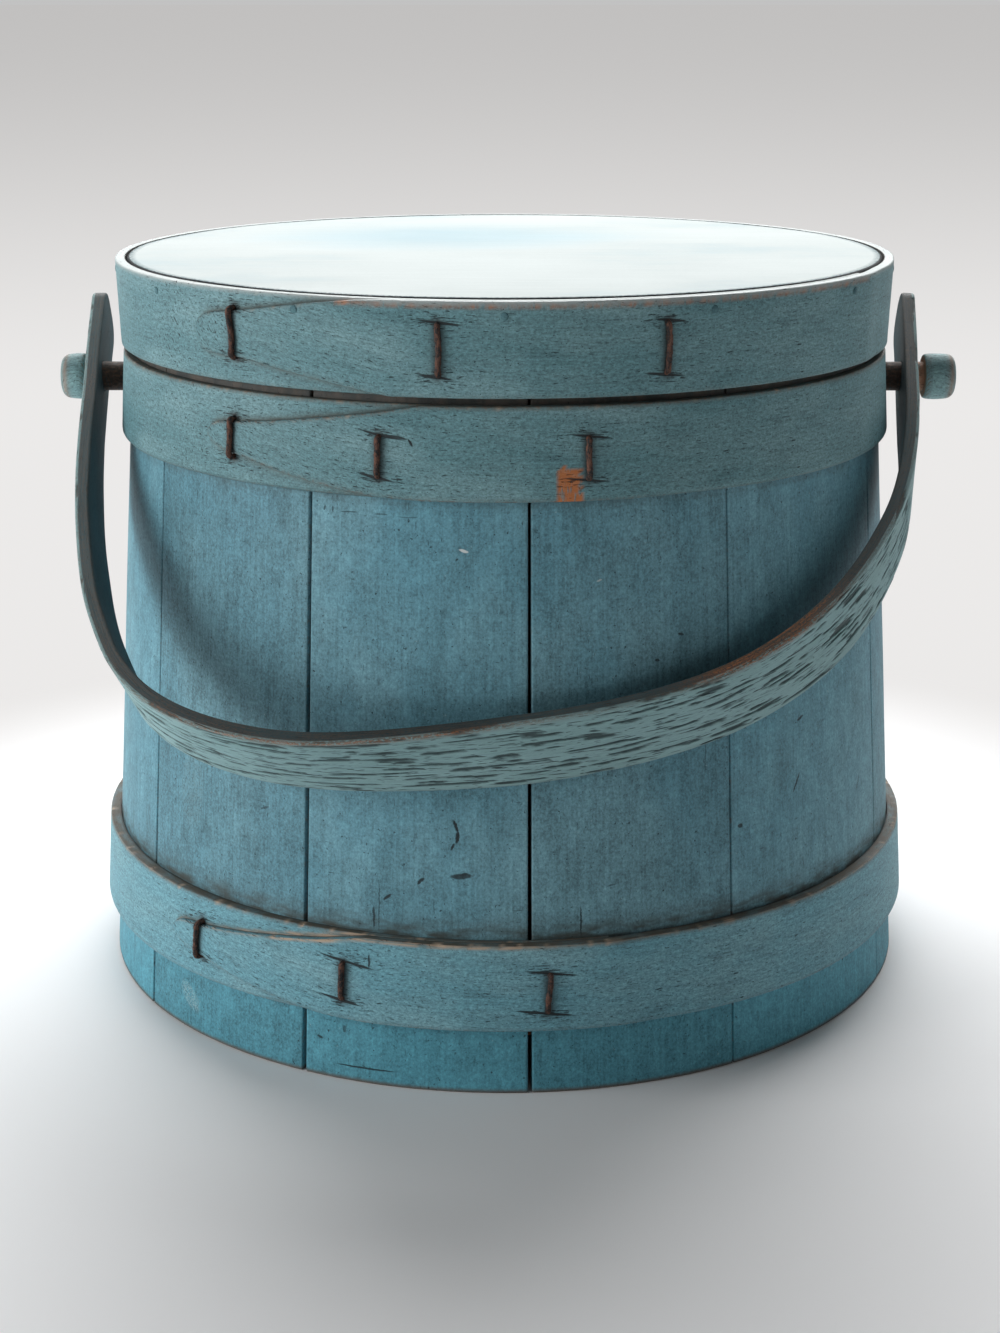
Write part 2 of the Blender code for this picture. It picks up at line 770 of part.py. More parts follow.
def main():
    clear_scene()
    root = bpy.data.objects.new("firkin", None)
    bpy.context.scene.collection.objects.link(root)
    stave_paint = finish("stave_paint", STAVE_PAINT)
    hoop_paint = finish("hoop_paint", HOOP_PAINT)
    lid_paint = finish("lid_paint", LID_PAINT)
    handle_paint = finish("handle_paint", HANDLE_PAINT)
    bare_wood = finish("bare_wood", BARE_WOOD)
    rusty_wire = finish("rusty_wire", RUSTY_WIRE)
    staves = make_body(stave_paint, bare_wood, root)
    upper_hoop = make_hoops(hoop_paint, rusty_wire, root)
    make_lid(lid_paint, rusty_wire, root)
    strap = make_handle(handle_paint, root)
    make_pegs(staves, upper_hoop, strap, handle_paint, bare_wood, root)
    centre_on_origin(root)


main()
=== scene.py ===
"""The looks of a painted wooden firkin: staves, lapped hoops, lid, bentwood handle and pegs.

Lengths are metres and angles degrees. Angles round the body start at the front and grow to the
right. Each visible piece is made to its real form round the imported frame, and rides on its body.
"""

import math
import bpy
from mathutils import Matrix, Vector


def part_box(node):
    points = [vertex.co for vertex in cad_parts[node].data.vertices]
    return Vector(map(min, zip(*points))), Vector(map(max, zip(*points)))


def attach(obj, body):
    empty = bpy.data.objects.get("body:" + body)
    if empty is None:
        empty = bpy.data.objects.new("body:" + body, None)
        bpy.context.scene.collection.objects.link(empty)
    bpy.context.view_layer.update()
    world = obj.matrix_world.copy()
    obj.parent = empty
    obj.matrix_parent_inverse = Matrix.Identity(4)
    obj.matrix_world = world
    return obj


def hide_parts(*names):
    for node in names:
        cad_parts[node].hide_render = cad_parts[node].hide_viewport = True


bl_info = {
    "name": "Painted firkin",
    "version": (1, 0, 0),
    "blender": (4, 5, 0),
    "location": "View3D > Sidebar > Firkin",
    "description": "Makes a painted wooden firkin with a lid and a bentwood handle",
    "category": "Add Mesh",
}

import bpy
import numpy as np
from mathutils import Vector, noise

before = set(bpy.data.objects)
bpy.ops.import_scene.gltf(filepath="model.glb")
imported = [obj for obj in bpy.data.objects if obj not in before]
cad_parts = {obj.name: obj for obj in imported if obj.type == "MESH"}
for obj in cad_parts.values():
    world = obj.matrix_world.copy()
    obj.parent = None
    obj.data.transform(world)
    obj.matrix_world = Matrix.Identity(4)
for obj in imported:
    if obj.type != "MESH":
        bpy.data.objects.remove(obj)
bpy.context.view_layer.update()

FULL_TURN = 360.0
MM = 0.001


def middle_of(node):
    low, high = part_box(node)
    return (low + high) / 2


AXIS = middle_of("bottom_board")
BODY_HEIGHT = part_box("stave_01")[1].z
LID_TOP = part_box("lid_board")[1].z
LID_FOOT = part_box("lid_band")[0].z
UPPER_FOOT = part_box("upper_hoop")[0].z
LOWER_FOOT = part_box("lower_hoop")[0].z
HANDLE_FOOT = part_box("handle")[0].z
PEG_HEIGHT = middle_of("peg_left").z

# Air under a strip, between a lap's layers, round the board, in a bore and under a staple
STRIP_GAP = 0.3 * MM
LAP_GAP = 0.3 * MM
BOARD_GAP = 0.3 * MM
BORE_GAP = 0.3 * MM
STRAP_BORE_GAP = 0.4 * MM
WIRE_GAP = 0.1 * MM

# How far to each side of the axis a peg's bore is cut, past all that it passes through
BORE_REACH = 0.2

# Stave joints, the opened ones at the front first, how far each of those is open at the foot
# and the rim, as shares of the open joint, and the staves that the pegs pass through
STAVE_JOINTS = (-57.5, -26.8, 3.3, 31.4, 66.8, 99.0, 128.0, 157.0, 186.0, 216.0, 247.0, 278.0)
JOINT_OPENINGS = ((0.90, 0.30), (1.10, 1.25), (1.10, 1.25), (0.30, 0.50), (0.25, 0.50))
TIGHT_JOINT = (0.23, 0.50)
PEG_STAVES = (5, 11)
GROOVE_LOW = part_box("bottom_board")[0].z - 0.3 * MM
GROOVE_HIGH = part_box("bottom_board")[1].z + 0.3 * MM
GROOVE_DEPTH = 4.0 * MM

# Outline of a lap's tongue: share of the flare, then low and high edge as shares of the height
HOOP_TONGUE = (
    (0.00, 0.47, 0.55),
    (0.02, 0.42, 0.60),
    (0.05, 0.375, 0.635),
    (0.10, 0.34, 0.66),
    (0.20, 0.30, 0.68),
    (0.38, 0.20, 0.74),
    (0.64, 0.08, 0.84),
    (0.82, 0.02, 0.91),
    (1.00, 0.00, 1.00),
)
LID_TONGUE = (
    (0.00, 0.42, 0.60),
    (0.02, 0.36, 0.66),
    (0.06, 0.31, 0.71),
    (0.14, 0.29, 0.75),
    (0.28, 0.28, 0.79),
    (0.46, 0.22, 0.86),
    (0.66, 0.14, 0.93),
    (0.85, 0.06, 0.98),
    (1.00, 0.00, 1.00),
)

# A strip's thickness at its tip and at its inner end, as shares, how much of its thickness its
# bevel may take, and the degrees in which the lap's step closes
TIP_SHARE = 0.36
END_SHARE = 0.22
BEVEL_SHARE = 0.82
LAP_CLOSE = 7.0

# Staples: their angles, and the shares of the band's height that they are centred on
UPPER_STAPLES = ((-38.9, 0.485), (-16.3, 0.45), (10.8, 0.455))
LOWER_STAPLES = ((-43.2, 0.49), (-20.3, 0.465), (5.5, 0.445))
LID_STAPLES = ((-38.0, 0.54), (-8.4, 0.50), (21.1, 0.49))

# The handle's line as bent: shares of its half span and of its drop below the pegs
HANDLE_LINE = (
    (-1.018, -0.205),
    (-1.006, 0.00),
    (-0.981, 0.28),
    (-0.946, 0.49),
    (-0.882, 0.70),
    (-0.763, 0.88),
    (-0.560, 0.975),
    (-0.290, 1.00),
    (0.130, 0.960),
    (0.470, 0.865),
    (0.715, 0.705),
    (0.877, 0.490),
    (0.955, 0.28),
    (0.993, 0.00),
    (1.015, -0.205),
)
# The strap's twist in degrees, by the share of its length
HANDLE_TWIST = (
    (0.0, 0.0),
    (0.10, 0.0),
    (0.30, -15.0),
    (0.42, -4.0),
    (0.53, 15.0),
    (0.72, 15.0),
    (0.90, 0.0),
    (1.0, 0.0),
)
HANDLE_RINGS = 620
HANDLE_END_RADIUS = 7.5 * MM

# Marks on the staves: angle, height, half length, half width, turn, and strength of the dark
STAVE_MARKS = (
    (-6.2, 94.2, 2.6, 0.60, 112.0, 0.95),
    (-6.0, 90.4, 2.4, 0.62, 82.0, 0.95),
    (-6.6, 87.0, 1.5, 0.45, 62.0, 0.9),
    (-5.5, 76.8, 3.8, 1.00, 4.0, 0.85),
    (-5.2, 77.4, 1.8, 0.60, 12.0, 0.9),
    (-10.8, 74.4, 1.7, 0.62, 48.0, 0.9),
    (-15.2, 68.0, 1.9, 0.55, 42.0, 0.9),
    (-17.0, 60.5, 4.2, 0.42, 90.0, 0.8),
    (-16.3, 64.5, 9.0, 0.20, 90.0, 0.6),
    (9.9, 61.0, 5.5, 0.30, 90.0, 0.8),
    (44.5, 118.0, 2.0, 0.55, 20.0, 0.8),
    (43.5, 95.0, 3.8, 0.45, 62.0, 0.8),
    (33.0, 86.0, 1.0, 0.80, 0.0, 0.85),
    (24.0, 156.0, 1.2, 0.50, 170.0, 0.8),
    (-18.0, 5.5, 11.0, 0.34, 1.0, 0.85),
    (-24.5, 14.0, 1.2, 0.50, 160.0, 0.8),
    (-21.0, 18.5, 0.5, 1.40, 0.0, 0.6),
    (60.0, 84.0, 4.0, 0.34, 60.0, 0.6),
    (-24.6, 197.6, 0.9, 0.40, 80.0, 0.7),
    (-23.4, 197.5, 1.1, 0.35, 84.0, 0.6),
    (-21.0, 197.2, 3.4, 0.22, 2.0, 0.6),
    (-16.4, 196.9, 2.4, 0.24, 0.0, 0.5),
    (-12.8, 196.6, 3.6, 0.18, 1.0, 0.4),
    (27.5, 113.0, 6.5, 0.22, 88.0, 0.5),
    (-33.5, 92.0, 2.0, 0.45, 20.0, 0.6),
    (-36.0, 106.0, 2.4, 0.35, 150.0, 0.5),
    (20.5, 148.0, 0.9, 0.55, 0.0, 0.8),
    (14.0, 72.5, 1.8, 0.30, 14.0, 0.5),
    (-9.0, 66.0, 2.8, 0.24, 92.0, 0.4),
)
PALE_MARKS = ((-5.3, 186.2, 1.7, 0.55, -12.0, 1.0), (12.5, 176.0, 1.0, 0.35, 20.0, 0.5))
SCUFFS = ((-47.5, 12.5, 7.0, 3.6, 140.0, 0.75), (-48.0, 90.0, 7.0, 16.0, 0.0, 0.20))

# The radius at which the staves' surface is rolled out, and heights on it, in millimetres
STAVE_PLANE_RADIUS = 145.0
FRESH_PAINT_TOP = (26.0, 22.0)
# Heights where the staves darken just under the upper hoop: painted shade.
SHADE_UNDER_HOOP = (198.0, 202.0)
FOOT_WEAR_TOP = (2.2, 0.3)
WAVER = 1.6

# The middle of the blue left in the lid, in millimetres from the axis
BLUE_PATCH = (-22.0, 48.0, 0.0)

# Values from 0 to 1 that the mesh of a band or a peg carries for its paint, its painted shade and the lid
# band's painted highlight
BAND_FIELDS = ("edge", "stress", "stain", "bare", "chipped", "dirt", "pale", "fleck")
STRAP_FIELDS = ("edge", "bare", "outer", "groove")

# The stage: the floor's reach in metres, the brightness of the far floor and of what is round
# it, and each lamp's place, target, and width and height
FLOOR_REACH = 60.0
BACKDROP_NEAR = 0.84
BACKDROP_STRENGTHS = (0.535, 0.835)
SURROUNDINGS_SEEN = 0.54
LAMPS = {
    "back_light": ((0.02, 1.40, 1.45), (0.0, 0.10, 0.0), (2.5, 1.3)),
    "left_light": ((-1.5, -0.55, 0.48), (0.0, 0.0, 0.10), (1.0, 0.9)),
    "low_light": ((0.05, -0.62, 0.02), (0.0, -0.12, 0.24), (1.1, 0.25)),
}


def length_property(name, description, default, smallest):
    return bpy.props.FloatProperty(
        name=name, description=description, default=default, min=smallest, unit="LENGTH")


def power_property(name, description, default):
    return bpy.props.FloatProperty(
        name=name, description=description, default=default, min=0.0, unit="POWER")


def colour_property(name, description, default):
    return bpy.props.FloatVectorProperty(
        name=name, description=description, default=default, min=0.0, max=1.0, size=3,
        subtype="COLOR")


class FirkinSizes(bpy.types.PropertyGroup):
    """Sizes of the firkin's pieces, in metres and degrees."""

    base_radius: length_property(
        "Base radius", "Outer radius of the staves at the foot", 0.1538, 0.01)
    rim_radius: length_property(
        "Rim radius", "Outer radius of the staves at the rim", 0.1364, 0.01)
    stave_thickness: length_property(
        "Stave thickness", "Thickness of the staves", 0.0100, 0.002)
    stave_arris: length_property(
        "Stave arris", "Rounding along the edges of a stave", 0.0006, 0.0001)
    joint_foot: length_property(
        "Open joint at the foot", "Width of an opened stave joint at the foot", 0.0013, 0.0)
    joint_rim: length_property(
        "Open joint at the rim", "Width of an opened stave joint at the rim", 0.0006, 0.0)
    upper_height: length_property(
        "Upper hoop height", "Width of the upper hoop's strip", 0.0306, 0.005)
    upper_thickness: length_property(
        "Upper hoop thickness", "Thickness of the upper hoop's strip", 0.0027, 0.001)
    lower_height: length_property(
        "Lower hoop height", "Width of the lower hoop's strip", 0.0302, 0.005)
    lower_thickness: length_property(
        "Lower hoop thickness", "Thickness of the lower hoop's strip", 0.0040, 0.001)
    lid_height: length_property(
        "Lid band height", "Width of the lid band's strip", 0.0306, 0.005)
    lid_thickness: length_property(
        "Lid band thickness", "Thickness of the lid band's strip", 0.0035, 0.001)
    lid_lean: length_property(
        "Lid band lean", "How far the lid's band leans out over its height", 0.0010, 0.0)
    lid_board_shrinkage: length_property(
        "Lid board shrinkage", "How far the board has shrunk across its grain", 0.0016, 0.0)
    wire_radius: length_property(
        "Wire radius", "Radius of the staple wire", 0.0010, 0.0003)
    strap_width: length_property(
        "Strap width", "Width of the handle's strap", 0.0253, 0.005)
    strap_thickness: length_property(
        "Strap thickness", "Thickness of the handle's strap", 0.0052, 0.001)
    strap_standoff: length_property(
        "Strap standoff", "Gap between the strap and the upper hoop at the pegs", 0.0084, 0.001)
    strap_drop: length_property(
        "Strap drop", "How far the strap reaches below the pegs when upright", 0.1860, 0.02)
    peg_shaft_radius: length_property(
        "Peg shaft radius", "Radius of a peg's shaft", 0.0054, 0.001)
    peg_head_radius: length_property(
        "Peg head radius", "Radius of a peg's head", 0.0083, 0.001)


class FirkinColours(bpy.types.PropertyGroup):
    """Colours of the firkin's paint, wood and iron."""

    stave_paint: colour_property(
        "Stave paint", "Grey-blue milk paint of the staves", (0.096, 0.241, 0.301))
    fresh_paint: colour_property(
        "Fresh paint", "Paint that kept its colour at the foot", (0.070, 0.270, 0.345))
    hoop_paint: colour_property(
        "Hoop paint", "Greyer paint of the upper hoop and the lid band", (0.097, 0.212, 0.236))
    lower_hoop_paint: colour_property(
        "Lower hoop paint", "Paint of the lower hoop, which kept more blue", (0.126, 0.308, 0.370))
    # Also the painted highlight on the lid band's rim.
    lid_paint: colour_property(
        "Lid paint", "Pale rubbed paint of the lid board", (0.545, 0.595, 0.590))
    lid_blue: colour_property(
        "Lid blue", "Blue that is left in the rubbed lid", (0.385, 0.525, 0.575))
    lid_scratch: colour_property(
        "Lid scratch", "Scratches rubbed paler in the lid", (0.660, 0.690, 0.690))
    handle_paint: colour_property(
        "Handle paint", "Grey-green paint of the handle", (0.200, 0.335, 0.345))
    # Also painted shade on the strap's inner face and at the lid board's top edge.
    dark_paint: colour_property(
        "Dark paint", "Paint where it is thick and dirty", (0.050, 0.115, 0.135))
    pale_paint: colour_property(
        "Pale paint", "Paint where it is rubbed thin", (0.290, 0.440, 0.465))
    # Also the black of painted shade in the gaps round the lid board, in the slit under the lid and on the
    # strap's inner face.
    crack_and_shade: colour_property(
        "Crack", "Dark inside of pores and cracks", (0.010, 0.014, 0.016))
    bare_wood: colour_property(
        "Bare wood", "Wood where the paint has flaked off", (0.400, 0.140, 0.048))
    chipped_wood: colour_property(
        "Chipped wood", "Pale wood along a chipped arris", (0.420, 0.320, 0.235))
    # Also the painted shade just under the upper hoop.
    grime_and_shade: colour_property(
        "Grime", "Grey-green dirt above the lower hoop", (0.050, 0.058, 0.052))
    # Also the painted shade under and inside the strips and along the tongues.
    dust_and_shade: colour_property(
        "Dusty edge", "Grey-brown dirt on the hoops' top faces", (0.085, 0.082, 0.066))
    old_wood: colour_property(
        "Old wood", "Grey-brown wood of dirty edges and unpainted pieces", (0.115, 0.075, 0.050))
    rust: colour_property(
        "Rust", "Rusted wire of the staples and tacks", (0.125, 0.060, 0.042))
    worn_rust: colour_property(
        "Worn rust", "Rust where the wire is rubbed", (0.240, 0.120, 0.075))
    # Also the painted shade in the gaps behind the strips and on the pegs' shafts under the strap.
    rust_stain_and_shade: colour_property(
        "Rust stain", "Dark stain in the paint beside the staples", (0.030, 0.026, 0.024))
    floor: colour_property(
        "Floor", "Pale floor", (0.880, 0.880, 0.885))
    backdrop: colour_property(
        "Backdrop", "Slightly warm grey of the far floor", (1.0, 0.985, 0.975))


class FirkinStage(bpy.types.PropertyGroup):
    """The camera and the lights."""

    lens: bpy.props.FloatProperty(
        name="Lens", description="Focal length on a sensor 36 mm high", default=60.54, min=10.0,
        unit="CAMERA")
    camera_distance: length_property(
        "Camera distance", "Level distance from the firkin's axis to the camera", 0.840767, 0.1)
    camera_height: length_property(
        "Camera height", "Height of the camera above the floor", 0.358643, 0.0)
    camera_down: bpy.props.FloatProperty(
        name="Camera down", description="How far the camera looks down",
        default=math.radians(16.782), unit="ROTATION")
    camera_turn: bpy.props.FloatProperty(
        name="Camera turn", description="How far the camera is turned to the left",
        default=math.radians(0.113), unit="ROTATION")
    back_light: power_property(
        "Back light", "Power of the large soft light above and behind", 82.0)
    left_light: power_property(
        "Left light", "Power of the soft light low on the left", 18.0)
    low_light: power_property(
        "Low light", "Power of the faint light low in front", 0.40)
    surroundings: bpy.props.FloatProperty(
        name="Surroundings", description="Strength of the even light from all round",
        default=0.10, min=0.0)


class Graph:
    """Adds nodes to a tree, with inputs given as values or as other nodes' sockets."""

    def __init__(self, tree):
        self.tree = tree

    def add(self, kind, inputs=None, **settings):
        item = self.tree.nodes.new(kind)
        for key, value in settings.items():
            setattr(item, key, value)
        for key, value in (inputs or {}).items():
            self.feed(item.inputs[key], value)
        return item

    def feed(self, socket, value):
        if isinstance(value, bpy.types.NodeSocket):
            self.tree.links.new(value, socket)
        elif socket.type == "RGBA":
            socket.default_value = (*value, 1.0)
        else:
            socket.default_value = value

    def math(self, operation, *values, clamp=False):
        item = self.add("ShaderNodeMath", dict(enumerate(values)), operation=operation)
        item.use_clamp = clamp
        return item.outputs[0]

    def plus(self, first, second, clamp=False):
        return self.math("ADD", first, second, clamp=clamp)

    def minus(self, first, second):
        return self.math("SUBTRACT", first, second)

    def times(self, first, second, clamp=False):
        return self.math("MULTIPLY", first, second, clamp=clamp)

    def weighted(self, base, *terms):
        """A base plus each value times its weight."""
        total = base
        for value, weight in terms:
            total = self.plus(total, self.times(value, weight))
        return total

    def most(self, values):
        """The largest of several values."""
        result = values[0]
        for value in values[1:]:
            result = self.math("MAXIMUM", result, value)
        return result

    def vector(self, operation, *values):
        item = self.add("ShaderNodeVectorMath", operation=operation)
        for socket, value in zip(item.inputs, values):
            self.feed(socket, value)
        return item.outputs["Value" if operation in ("LENGTH", "DOT_PRODUCT") else "Vector"]

    def scaled(self, vector, scale):
        return self.vector("MULTIPLY", vector, scale)

    def split(self, vector):
        return self.add("ShaderNodeSeparateXYZ", {0: vector}).outputs

    def join(self, x=0.0, y=0.0, z=0.0):
        return self.add("ShaderNodeCombineXYZ", {0: x, 1: y, 2: z}).outputs[0]

    def turned(self, vector, degrees):
        """A vector turned about the upright axis."""
        inputs = {"Vector": vector, "Angle": math.radians(degrees)}
        return self.add("ShaderNodeVectorRotate", inputs, rotation_type="Z_AXIS").outputs[0]

    def place(self):
        """The place in the firkin, in millimetres."""
        return self.scaled(self.add("ShaderNodeTexCoord").outputs["Object"], (1 / MM,) * 3)

    def surface(self):
        """The place on the piece's own rolled-out surface, in millimetres."""
        return self.scaled(self.add("ShaderNodeUVMap").outputs[0], (1 / MM, 1 / MM, 1.0))

    def between(self, value, low, high, to_low=0.0, to_high=1.0):
        """Maps a value smoothly from one range to another, and keeps it inside."""
        item = self.add("ShaderNodeMapRange", interpolation_type="SMOOTHSTEP", clamp=True)
        for socket, given in zip(item.inputs, (value, low, high, to_low, to_high)):
            self.feed(socket, given)
        return item.outputs[0]

    def noise(self, vector, detail=3.0, rough=0.55, scale=1.0):
        inputs = {"Vector": vector, "Scale": scale, "Detail": detail, "Roughness": rough}
        return self.add("ShaderNodeTexNoise", inputs).outputs[0]

    def grain(self, vector, stretch, detail=3.0, rough=0.55):
        """Noise from 0 to 1, stretched along the axes."""
        return self.noise(self.scaled(vector, stretch), detail, rough)

    def mix(self, share, low, high, blend="MIX"):
        item = self.add("ShaderNodeMix", data_type="RGBA", blend_type=blend)
        self.feed(item.inputs[0], share)
        self.feed(item.inputs[6], low)
        self.feed(item.inputs[7], high)
        return item.outputs[2]

    def shaded(self, colour, shade):
        """A colour made darker or lighter by a factor."""
        return self.mix(1.0, colour, self.join(shade, shade, shade), "MULTIPLY")

    def field(self, name):
        """A value that the piece's own mesh carries."""
        return self.add("ShaderNodeAttribute", attribute_name=name).outputs["Fac"]


def new_material(name, roughness, metallic=0.0):
    material = bpy.data.materials.new(name)
    material.use_nodes = True
    shader = material.node_tree.nodes["Principled BSDF"]
    shader.inputs["Roughness"].default_value = roughness
    shader.inputs["Metallic"].default_value = metallic
    shader.inputs["Specular IOR Level"].default_value = 0.28
    return material, Graph(material.node_tree), shader


def raise_surface(graph, shader, height, depth):
    """Bumps the surface by a height from 0 to 1, where 1 is that depth in metres."""
    bump = graph.add("ShaderNodeBump", {"Height": height, "Strength": 1.0, "Distance": depth})
    graph.feed(shader.inputs["Normal"], bump.outputs[0])


def ellipse(graph, plane, at, half_length, half_width, turn, strength):
    """Up to its strength inside a mark, and 0 outside it, on a plane in millimetres."""
    offset = graph.vector("SUBTRACT", plane, (*at, 0.0))
    shape = graph.scaled(graph.turned(offset, -turn), (1 / half_length, 1 / half_width, 1.0))
    return graph.between(graph.vector("LENGTH", shape), 1.1, 0.7, 0.0, strength)


def stave_mark(graph, plane, mark):
    angle, height, *shape = mark
    return ellipse(graph, plane, (math.radians(angle) * STAVE_PLANE_RADIUS, height), *shape)


def grain_plane(graph):
    """Arc length and height in millimetres on the staves, from the place in the world."""
    place = graph.add("ShaderNodeTexCoord").outputs["Object"]
    offset = graph.scaled(graph.vector("SUBTRACT", place, tuple(AXIS)), (1 / MM,) * 3)
    x, y, z = graph.split(offset)
    turn = graph.math("ARCTAN2", x, graph.times(y, -1.0))
    height = graph.plus(z, AXIS.z / MM)
    return graph.join(graph.times(turn, STAVE_PLANE_RADIUS), height), offset, height


def dashes(graph, plane, length, width, level, detail=2.0):
    """Dark pores along the grain: 1 inside, where a stretched noise passes a level."""
    value = graph.grain(plane, (1 / length, 1 / width, 1.0), detail, 0.6)
    return graph.between(value, level, graph.plus(level, 0.05))


def stave_material(colours):
    """Grey-blue paint over upright grain, with faint brush lines, nicks, dust above the lower hoop, and
    painted shade under the upper hoop and in the slit under the lid.
    """
    material, graph, shader = new_material("stave_paint", 0.62)
    plane, offset, height = grain_plane(graph)
    clouds = graph.grain(offset, (0.020, 0.020, 0.013), 4.0)
    patches = graph.grain(offset, (0.075, 0.075, 0.030), 3.0)
    upright = graph.grain(plane, (0.9, 0.022, 1.0), 3.0)
    strokes = graph.grain(plane, (0.018, 1.1, 1.0), 3.0)
    fine = graph.grain(offset, (0.55, 0.55, 0.48), 4.0, 0.78)
    paint = graph.mix(
        graph.between(clouds, 0.35, 0.68, 0.0, 0.22), colours.stave_paint, colours.pale_paint)
    paint = graph.mix(graph.between(patches, 0.45, 0.75, 0.0, 0.30), paint, colours.dark_paint)
    paint = graph.mix(graph.between(height, *FRESH_PAINT_TOP, 0.0, 0.8), paint, colours.fresh_paint)
    tint = graph.between(graph.field("tint"), 0.0, 1.0, -0.10, 0.10)
    grit = graph.grain(offset, (1.35, 1.35, 1.1), 2.0, 0.7)
    blotch = graph.grain(offset, (0.16, 0.16, 0.10), 3.0, 0.6)
    shade = graph.weighted(
        -0.98, (upright, 0.65), (strokes, 0.16), (fine, 1.15), (grit, 1.25), (blotch, 0.75))
    paint = graph.shaded(paint, graph.plus(shade, tint))
    pores = dashes(graph, plane, 0.48, 5.5, 0.700)
    cracks = dashes(graph, plane, 7.0, 0.50, 0.715)
    pits = graph.between(graph.grain(offset, (0.80, 0.80, 0.80), 2.0, 0.6), 0.69, 0.74)
    specks = graph.between(graph.grain(offset, (0.95, 0.95, 0.95), 2.0, 0.6), 0.69, 0.76)
    paint = graph.mix(graph.times(specks, 0.45), paint, colours.pale_paint)
    lower_top = (LOWER_FOOT + sizes().lower_height) / MM
    upper_top = (UPPER_FOOT + sizes().upper_height) / MM
    above_hoop = graph.times(
        graph.between(height, lower_top + 10.0, lower_top - 1.0),
        graph.between(height, lower_top - 4.0, lower_top - 2.0))
    # Painted shade just under the upper hoop.
    under_hoop = graph.between(height, *SHADE_UNDER_HOOP, 0.0, 0.35)
    ragged = graph.between(graph.grain(plane, (0.10, 0.35, 1.0), 3.0), 0.3, 0.7)
    # Dust above the lower hoop, and painted shade under the upper hoop.
    dirt = graph.times(graph.math("MAXIMUM", above_hoop, under_hoop), 0.85)
    dirt = graph.times(dirt, graph.plus(ragged, 0.25), clamp=True)
    foot_wear = graph.between(height, *FOOT_WEAR_TOP, 0.0, 0.85)
    wobble = graph.vector("SUBTRACT", graph.join(fine, patches), (0.5, 0.5, 0.0))
    wavy = graph.vector("ADD", plane, graph.scaled(wobble, (WAVER,) * 3))
    nicks = graph.most([stave_mark(graph, wavy, mark) for mark in STAVE_MARKS])
    chips = graph.most([stave_mark(graph, wavy, mark) for mark in PALE_MARKS])
    scuffs = graph.most([stave_mark(graph, wavy, mark) for mark in SCUFFS])
    crazing = graph.math("ABSOLUTE", graph.minus(grit, 0.5))
    scuffs = graph.times(scuffs, graph.between(crazing, 0.060, 0.020))
    paint = graph.mix(scuffs, paint, colours.pale_paint)
    dark = graph.most([
        graph.times(pores, 0.65), graph.times(cracks, 0.6),
        graph.times(pits, 0.75), nicks])
    rim_share = graph.between(height, upper_top - 1.0, upper_top, 0.0, 0.92)
    # Bare old wood above the upper hoop, mixed toward black: partly painted shade in the slit under the lid.
    rim_wood_and_shade = graph.mix(graph.between(blotch, 0.35, 0.65, 0.25, 0.80), colours.crack_and_shade, colours.old_wood)
    paint = graph.mix(rim_share, paint, rim_wood_and_shade)
    colour = graph.mix(dirt, paint, colours.grime_and_shade)
    worn = graph.times(graph.field("edge"), graph.between(fine, 0.48, 0.66, 0.0, 0.8))
    colour = graph.mix(graph.math("MAXIMUM", worn, foot_wear), colour, colours.old_wood)
    colour = graph.mix(dark, colour, colours.crack_and_shade)
    colour = graph.mix(chips, colour, colours.lid_paint)
    inside = graph.field("inside")
    bare = graph.mix(graph.between(upright, 0.3, 0.75), colours.bare_wood, colours.old_wood)
    colour = graph.mix(inside, colour, bare)
    graph.feed(shader.inputs["Base Color"], colour)
    graph.feed(shader.inputs["Roughness"], graph.between(clouds, 0.3, 0.7, 0.56, 0.70))
    relief = graph.weighted(0.0, (upright, 0.35), (strokes, 0.35), (fine, 0.35), (dark, -1.4))
    raise_surface(graph, shader, relief, 0.16 * MM)
    return material


